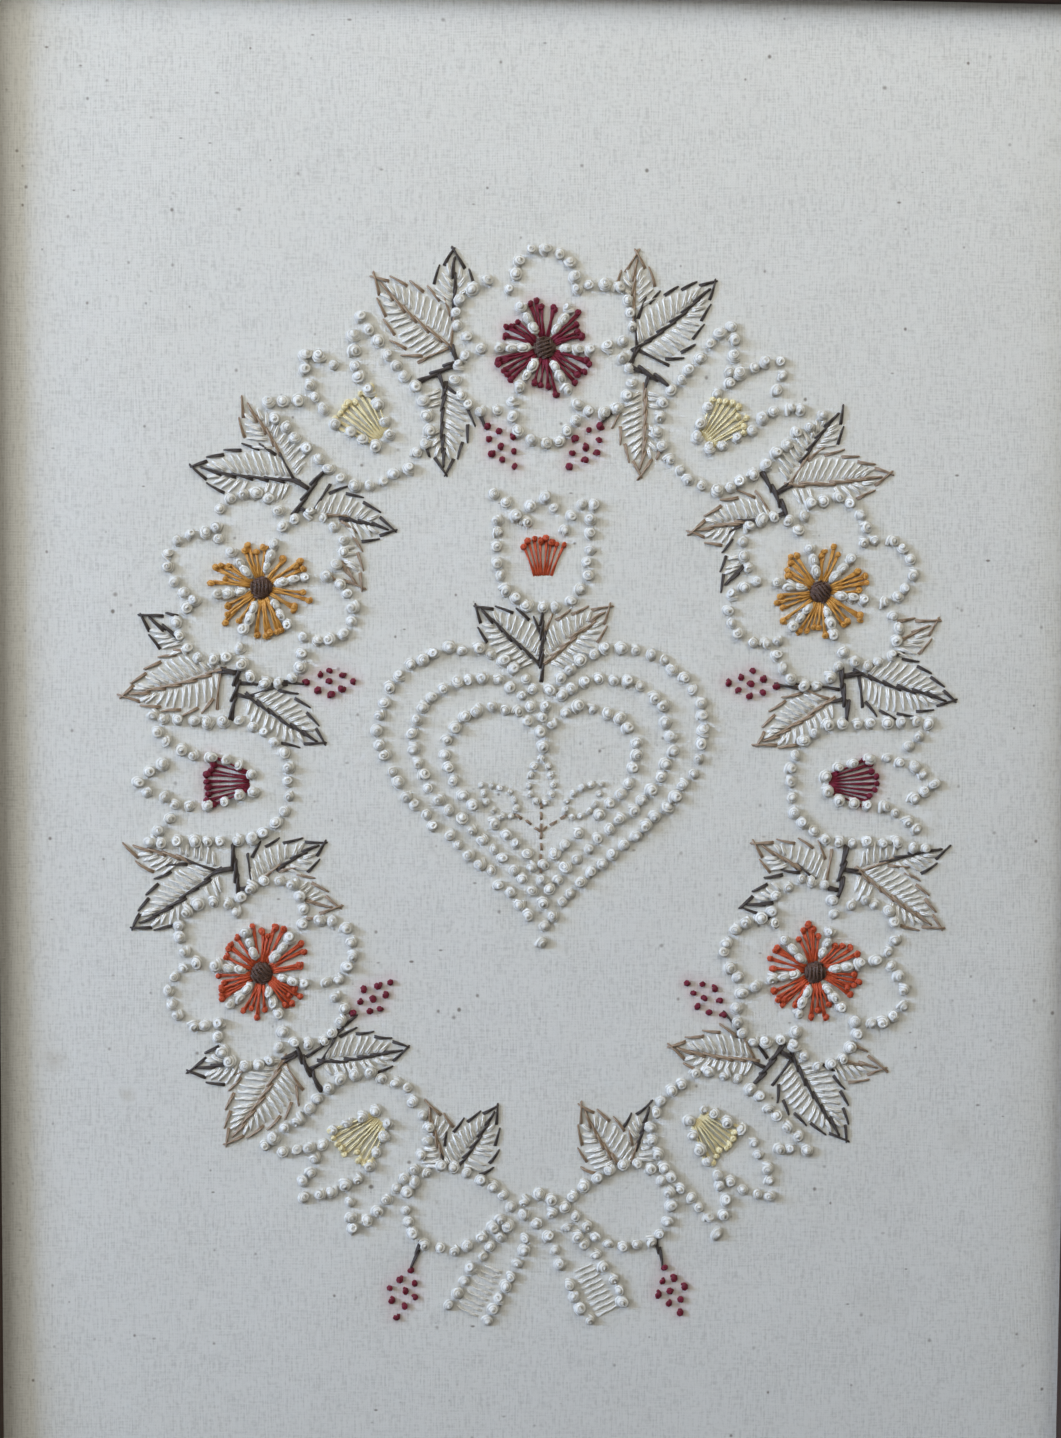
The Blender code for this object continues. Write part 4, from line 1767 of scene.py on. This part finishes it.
@dataclass
class Wreath:
    """The layout: an upright oval of stations, each with a flower or the bow, and leaves in the gaps."""

    centre: Pair = (0.0, -0.004)
    half_width: float = 0.088
    half_height: float = 0.122
    stations: int = 12
    bow_station: int = 6
    oval_points: int = 3841
    tulip_outset: float = 0.004
    fan_inset: float = 0.006
    full_gaps: tuple[int, ...] = (1, 3, 8, 10)
    bow_gaps: tuple[int, ...] = (5, 6)
    outer_leaves: LeafTable = ((0.005, 0.56, 0.029, 0.0165), (0.005, -0.56, 0.027, 0.0160))
    inner_leaves: LeafTable = ((0.004, -0.52, 0.025, 0.0150),)
    second_inner_leaves: LeafTable = ((0.004, 0.52, 0.024, 0.0150),)
    bow_leaves: LeafTable = ((0.004, -0.30, 0.024, 0.0145), (0.004, 0.85, 0.022, 0.0135))
    heart_leaf_start: Pair = (0.001, 0.030)
    heart_leaf_turn: float = 0.85
    heart_leaf_size: Pair = (0.024, 0.0150)
    heart_stem: Pair = (0.025, 0.045)
    heart_stem_points: int = 6
    heart_stem_thread: float = 0.0012
    leaf_curl: float = 0.13
    twig_step: float = 0.055
    stem_reach: float = 0.34
    stem_points: int = 9
    stem_thread: float = 0.0016
    inner_spray_inset: float = 0.002
    inner_spray_lean: float = 0.20
    inner_spray_twig: float = 0.0165
    bow_spray_outset: float = 0.016
    bow_spray_lean: float = 0.1
    middle_tulip_place: Pair = (0.0, 0.062)
    middle_fan_base: Pair = (0.0, 0.054)
    middle_share: float = 0.78
    middle_stamens: int = 8
    middle_reach: Pair = (0.0085, 0.0112)
    daisy_yarns: tuple[tuple[int, Yarn], ...] = (
        (0, Yarn.CRIMSON),
        (2, Yarn.GOLD),
        (4, Yarn.ORANGE),
        (8, Yarn.ORANGE),
        (10, Yarn.GOLD),
    )
    tulip_yarns: tuple[tuple[int, Yarn], ...] = (
        (1, Yarn.YELLOW),
        (3, Yarn.CRIMSON),
        (5, Yarn.YELLOW),
        (7, Yarn.YELLOW),
        (9, Yarn.CRIMSON),
        (11, Yarn.YELLOW),
    )

    def __post_init__(self) -> None:
        """Measures the oval."""
        self.angles = np.linspace(0, 2 * pi, self.oval_points)
        x, y = self.half_width * np.sin(self.angles), self.half_height * np.cos(self.angles)
        self.along = np.concatenate([[0], np.cumsum(np.hypot(np.diff(x), np.diff(y)))])

    def station(self, number: float) -> tuple[np.ndarray, float]:
        """A place on the oval.

        Args:
            number: The station, counted clockwise from the top. It may lie between two.

        Returns:
            The place, and the angle that points outwards there.
        """
        share = (number % self.stations) / self.stations
        a = float(np.interp(share * self.along[-1], self.along, self.angles))
        place = np.array([self.half_width * sin(a), self.half_height * cos(a)]) + self.centre
        return place, atan2(self.half_height * sin(a), self.half_width * cos(a))

    def flowers(self) -> list[Any]:
        """Every daisy and tulip, the middle one among them."""
        found: list[Any] = []
        for number, yarn in self.daisy_yarns:
            found.append(Daisy(*self.station(number), yarn))
        for number, yarn in self.tulip_yarns:
            place, outward = self.station(number)
            way = heading(outward)
            fan_base = place - self.fan_inset * way
            found.append(Tulip(place + self.tulip_outset * way, outward, yarn, fan_base))
        middle = Tulip(
            np.array(self.middle_tulip_place),
            0.0,
            Yarn.ORANGE,
            np.array(self.middle_fan_base),
            self.middle_share,
            has_folds=False,
            stamens=self.middle_stamens,
            reach=self.middle_reach,
        )
        return [*found, middle]

    def leaves_and_sprays(self) -> list[Any]:
        """Every leaf, and the berries where a gap has room for them."""
        found: list[Any] = []
        for gap in range(self.stations):
            place, outward = self.station(gap + 0.5)
            side = 1 if gap < self.stations / 2 else -1
            yarns = (Yarn.TAN, Yarn.BROWN) if gap % 2 else (Yarn.BROWN, Yarn.TAN)
            out = heading(outward)
            if gap in self.bow_gaps:
                found += self._group(self.bow_leaves, place, outward + pi, side, yarns)
                start = place + self.bow_spray_outset * out
                found.append(BerrySpray(start, outward + self.bow_spray_lean * side))
                continue
            ahead = self.station(gap + 0.5 + self.twig_step * side)[0]
            behind = self.station(gap + 0.5 - self.twig_step * side)[0]
            found += self._group(self.outer_leaves, behind, outward, side, yarns)
            found += self._group(self.inner_leaves, ahead, outward + pi, side, yarns[::-1])
            if gap in self.full_gaps:
                found += self._group(self.second_inner_leaves, ahead, outward + pi, side, yarns)
            else:
                start = place - self.inner_spray_inset * out
                angle = outward + pi + self.inner_spray_lean * side
                found.append(BerrySpray(start, angle, twig=self.inner_spray_twig))
        for side, yarn in ((-1, Yarn.BROWN), (1, Yarn.TAN)):
            base = np.array(self.heart_leaf_start) * (side, 1)
            found.append(Leaf(base, side * self.heart_leaf_turn, *self.heart_leaf_size, yarn))
        return found

    def _group(
        self, table: LeafTable, place: np.ndarray, growing: float, side: int, yarns: tuple[Yarn, Yarn]
    ) -> list[Leaf]:
        """The leaves of one table at one gap.

        Args:
            table: Rows of start, turn, length and width.
            place: The gap's place on the oval.
            growing: The way that the leaves grow.
            side: 1 on the right half of the wreath, -1 on the left.
            yarns: The outline yarns, in turn.

        Returns:
            The leaves.
        """
        leaves = []
        for i, (start, turn, length, width) in enumerate(table):
            base = place + start * heading(growing)
            curl = -self.leaf_curl * side * np.sign(turn)
            leaves.append(Leaf(base, growing + side * turn, length, width, yarns[i % 2], place, curl))
        return leaves

    def work(self, needle: Needlework) -> None:
        """Works the whole wreath and what it frames.

        Args:
            needle: Where the knots and stitches go.
        """
        flowers, hearts, bow = self.flowers(), Hearts(), Bow(self.station(self.bow_station)[0])
        needle.covers += [flower.outline() for flower in flowers]
        needle.covers += [hearts.outline(hearts.widths[0]), *bow.loops()]
        for motif in (*self.leaves_and_sprays(), Sprig(), *flowers, hearts, bow):
            motif.work(needle)
        for gap in range(self.stations):
            steps = gap + 0.5 + np.linspace(-self.stem_reach, self.stem_reach, self.stem_points)
            line = np.array([self.station(step)[0] for step in steps])
            needle.lay_stem(line, Yarn.BROWN, self.stem_thread, True)
        line = np.array([(0, y) for y in np.linspace(*self.heart_stem, self.heart_stem_points)])
        needle.lay_stem(line, Yarn.BROWN, self.heart_stem_thread)


@dataclass
class Rail:
    """One mitred rail of the moulding, smoother than its solid and with its own grain."""

    node: str
    along_x: bool
    sign: int
    face: float = 0.028
    depth: float = 0.020
    outer_edge: float = 0.013
    crest_inset: float = 0.008
    lip_top: float = 0.0165
    lip_round: float = 0.0015
    rabbet_width: float = 0.006
    rabbet_depth: float = 0.009
    round_steps: int = 12
    slope_steps: int = 18
    lip_steps: int = 7
    length_steps: int = 60
    crease: float = radians(40)
    plank_shifts: Pair = (0.37, 0.9)
    shoulder_wear: Triple = (0.55, 0.0025, 0.003)
    lip_wear: Triple = (0.45, 0.0270, 0.0015)
    lip_wear_from: float = 0.014
    corner_wear: Pair = (0.35, 0.02)

    def profile(self) -> np.ndarray:
        """The section as distance from the outer edge and height, once round."""
        back = self.face - self.rabbet_width
        crown = self.depth - self.outer_edge
        turn = np.linspace(0, pi / 2, self.round_steps + 1)[:, None]
        quarter = np.hstack([1 - np.cos(turn), np.sin(turn)])
        shoulder = (0.0, self.outer_edge) + quarter * (self.crest_inset, crown)
        share = np.linspace(0, 1, self.slope_steps)[1:-1]
        reach = self.face - self.lip_round - self.crest_inset
        fall = (self.depth - self.lip_top) * (1 - np.cos(pi * share)) / 2
        slope = np.stack([self.crest_inset + reach * share, self.depth - fall], axis=1)
        turn = np.linspace(pi / 2, 0, self.lip_steps)[:, None]
        hub = (self.face - self.lip_round, self.lip_top - self.lip_round)
        lip = hub + self.lip_round * np.hstack([np.cos(turn), np.sin(turn)])
        inside = [(self.face, self.rabbet_depth), (back, self.rabbet_depth), (back, 0.0)]
        return np.vstack([[(0.0, 0.0)], shoulder, slope, lip, inside])

    def build(self) -> bpy.types.Object:
        """Makes the rail in its place.

        Returns:
            The rail.
        """
        low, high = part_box(self.node)
        length = (high.x - low.x) if self.along_x else (high.y - low.y)
        section = self.profile()
        stations = np.linspace(-1, 1, self.length_steps + 1)
        count = len(section)
        half = length / 2 - section[:, 0]
        local = np.vstack([np.column_stack([share * half, section]) for share in stations])
        faces = [list(range(count)), [count * self.length_steps + i for i in range(count)][::-1]]
        for step in range(self.length_steps):
            for i in range(count):
                j = (i + 1) % count
                a, b = step * count, (step + 1) * count
                faces.append((a + i, b + i, b + j, a + j))
        along, across, up = local.T
        if self.along_x:
            edge = low.y if self.sign < 0 else high.y
            points = np.column_stack([-self.sign * along, edge - self.sign * across, up])
        else:
            edge = low.x if self.sign < 0 else high.x
            points = np.column_stack([edge - self.sign * across, self.sign * along, up])
        name = self.node.replace("frame_", "rail_")
        mesh = bpy.data.meshes.new(name)
        mesh.from_pydata([tuple(p) for p in points], [], faces)
        bm = bmesh.new()
        bm.from_mesh(mesh)
        bmesh.ops.recalc_face_normals(bm, faces=bm.faces)
        bm.to_mesh(mesh)
        bm.free()
        mesh.shade_smooth()
        mesh.set_sharp_from_angle(angle=self.crease)
        by_sign, by_axis = self.plank_shifts
        own_plank = by_sign * (1 + self.sign) + (by_axis if self.along_x else 0.0)
        give_attribute(mesh, "grain", local + (own_plank, 0, 0))
        give_attribute(mesh, "rubbed", self._rubbed(local, length))
        rail = linked(name, mesh)
        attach(rail, BODY)
        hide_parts(self.node)
        return rail

    def _rubbed(self, local: np.ndarray, length: float) -> np.ndarray:
        """How much a point is handled: most at the crest's shoulder, the lip and the corners.

        Args:
            local: Points as (along, across, up).
            length: The rail's length.

        Returns:
            A share for each point.
        """
        along, across, up = local.T
        strength, middle, reach = self.shoulder_wear
        bare_shoulder = np.exp(-(((across - middle) / reach) ** 2)) * (up > self.outer_edge)
        shoulder = strength * bare_shoulder
        strength, middle, reach = self.lip_wear
        lip = strength * np.exp(-(((across - middle) / reach) ** 2)) * (up > self.lip_wear_from)
        strength, reach = self.corner_wear
        corner = strength * np.exp(-(length / 2 - np.abs(along)) / reach) * bare_shoulder
        return np.clip(shoulder + lip + corner, 0, 1)


@dataclass
class Frame:
    """The four rails and the board behind the cloth."""

    rails: tuple[tuple[str, bool, int], ...] = (
        ("frame_bottom", True, -1),
        ("frame_top", True, 1),
        ("frame_left", False, -1),
        ("frame_right", False, 1),
    )

    def build(self, nodes: dict[str, bpy.types.Object]) -> list[bpy.types.Object]:
        """Makes the rails and dresses the board.

        Args:
            nodes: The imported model's objects by node name.

        Returns:
            The rails and the board.
        """
        rails = [Rail(*row).build() for row in self.rails]
        wood = WoodFinish().material("stained_wood")
        for rail in rails:
            rail.data.materials.append(wood)
        board = nodes["backing_board"]
        board.data.materials.clear()
        board.data.materials.append(HardboardFinish().material("hardboard"))
        return [*rails, board]


class Light(NamedTuple):
    """A soft light: where it hangs, the place on the floor that it faces, and what it is like."""

    name: str
    place: Triple
    aim: Pair
    size: Pair
    spread: float
    power: float
    colour: Colour


@dataclass
class Studio:
    """Plain pale floor, soft light from the left and from the picture's top, and the camera."""

    floor_size: float = 12.0
    image: tuple[int, int] = (1061, 1438)
    sensor_width: float = 36.0
    focal_pixels: float = 1740.0
    camera_place: Triple = (-0.0230, 0.0375, 0.5018)
    camera_aim: Triple = (-0.0031, 0.0138, 0.0090)
    camera_roll: float = radians(0.383)
    lights: tuple[Light, ...] = (
        Light(
            name="window_light",
            place=(-2.30, 0.72, 1.00),
            aim=(-0.18, 0.06),
            size=(1.0, 0.8),
            spread=radians(48),
            power=4.7,
            colour=(0.485, 0.663, 1.0),
        ),
        Light(
            name="left_fill",
            place=(-0.80, 0.20, 0.70),
            aim=(0.0, 0.0),
            size=(1.0, 0.8),
            spread=pi,
            power=5.0,
            colour=(0.993, 1.0, 0.965),
        ),
        Light(
            name="upper_fill",
            place=(0.20, 0.62, 0.60),
            aim=(0.0, 0.0),
            size=(1.0, 0.7),
            spread=pi,
            power=4.25,
            colour=(1.0, 0.962, 0.828),
        ),
    )
    world_colour: Colour = (1.0, 0.93, 0.82)
    world_strength: float = 0.09

    def build(self) -> None:
        """Makes the floor, the lights, the world and the camera."""
        self._floor()
        for light in self.lights:
            self._hang(light)
        world = bpy.data.worlds.new("studio")
        world.use_nodes = True
        backdrop = world.node_tree.nodes["Background"]
        backdrop.inputs["Color"].default_value = (*self.world_colour, 1.0)
        backdrop.inputs["Strength"].default_value = self.world_strength
        bpy.context.scene.world = world
        bpy.context.scene.view_settings.view_transform = "Standard"
        self._camera()

    def _floor(self) -> None:
        """Makes the floor."""
        bm = bmesh.new()
        bmesh.ops.create_grid(bm, x_segments=1, y_segments=1, size=self.floor_size)
        mesh = bpy.data.meshes.new("floor")
        bm.to_mesh(mesh)
        bm.free()
        mesh.materials.append(FloorFinish().material("floor"))
        floor = linked("floor", mesh)

    def _hang(self, light: Light) -> None:
        """Makes a soft light.

        Args:
            light: What it is like.
        """
        data = bpy.data.lights.new(light.name, "AREA")
        data.shape = "RECTANGLE"
        data.size, data.size_y = light.size
        data.spread = light.spread
        data.energy = light.power
        data.color = light.colour
        lamp = bpy.data.objects.new(light.name, data)
        lamp.matrix_world = self._aimed(light.place, (*light.aim, 0.0), 0.0)
        bpy.context.scene.collection.objects.link(lamp)

    def _camera(self) -> None:
        """Makes the camera at the photograph's angle."""
        data = bpy.data.cameras.new("camera")
        data.sensor_width = self.sensor_width
        data.lens = data.sensor_width * self.focal_pixels / max(self.image)
        camera = bpy.data.objects.new("camera", data)
        camera.matrix_world = self._aimed(self.camera_place, self.camera_aim, self.camera_roll)
        bpy.context.scene.collection.objects.link(camera)
        bpy.context.scene.camera = camera

    def _aimed(self, place: Triple, aim: Triple, roll: float) -> Matrix:
        """A place and a turn that look at a point, with the picture's top up.

        Args:
            place: Where it stands.
            aim: What it looks at.
            roll: A turn about the way it looks, in radians.

        Returns:
            The matrix.
        """
        back = (Vector(place) - Vector(aim)).normalized()
        side = Vector((0, 1, 0)).cross(back).normalized()
        turn = Matrix((side, back.cross(side), back)).transposed().to_4x4()
        return Matrix.Translation(Vector(place)) @ turn @ Matrix.Rotation(roll, 4, "Z")


def main() -> None:
    """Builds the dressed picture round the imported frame."""
    logging.basicConfig(level=logging.INFO, format="%(name)s: %(message)s")
    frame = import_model()
    muslin = Muslin()
    needle = Needlework(muslin)
    Wreath().work(needle)
    pieces = [muslin.build(needle), *needle.make(), *Frame().build(frame["nodes"])]
    for piece in pieces:
        piece.data.calc_loop_triangles()
        LOG.info("%s: %d triangles", piece.name, len(piece.data.loop_triangles))
    Studio().build()


if __name__ == "__main__":
    main()
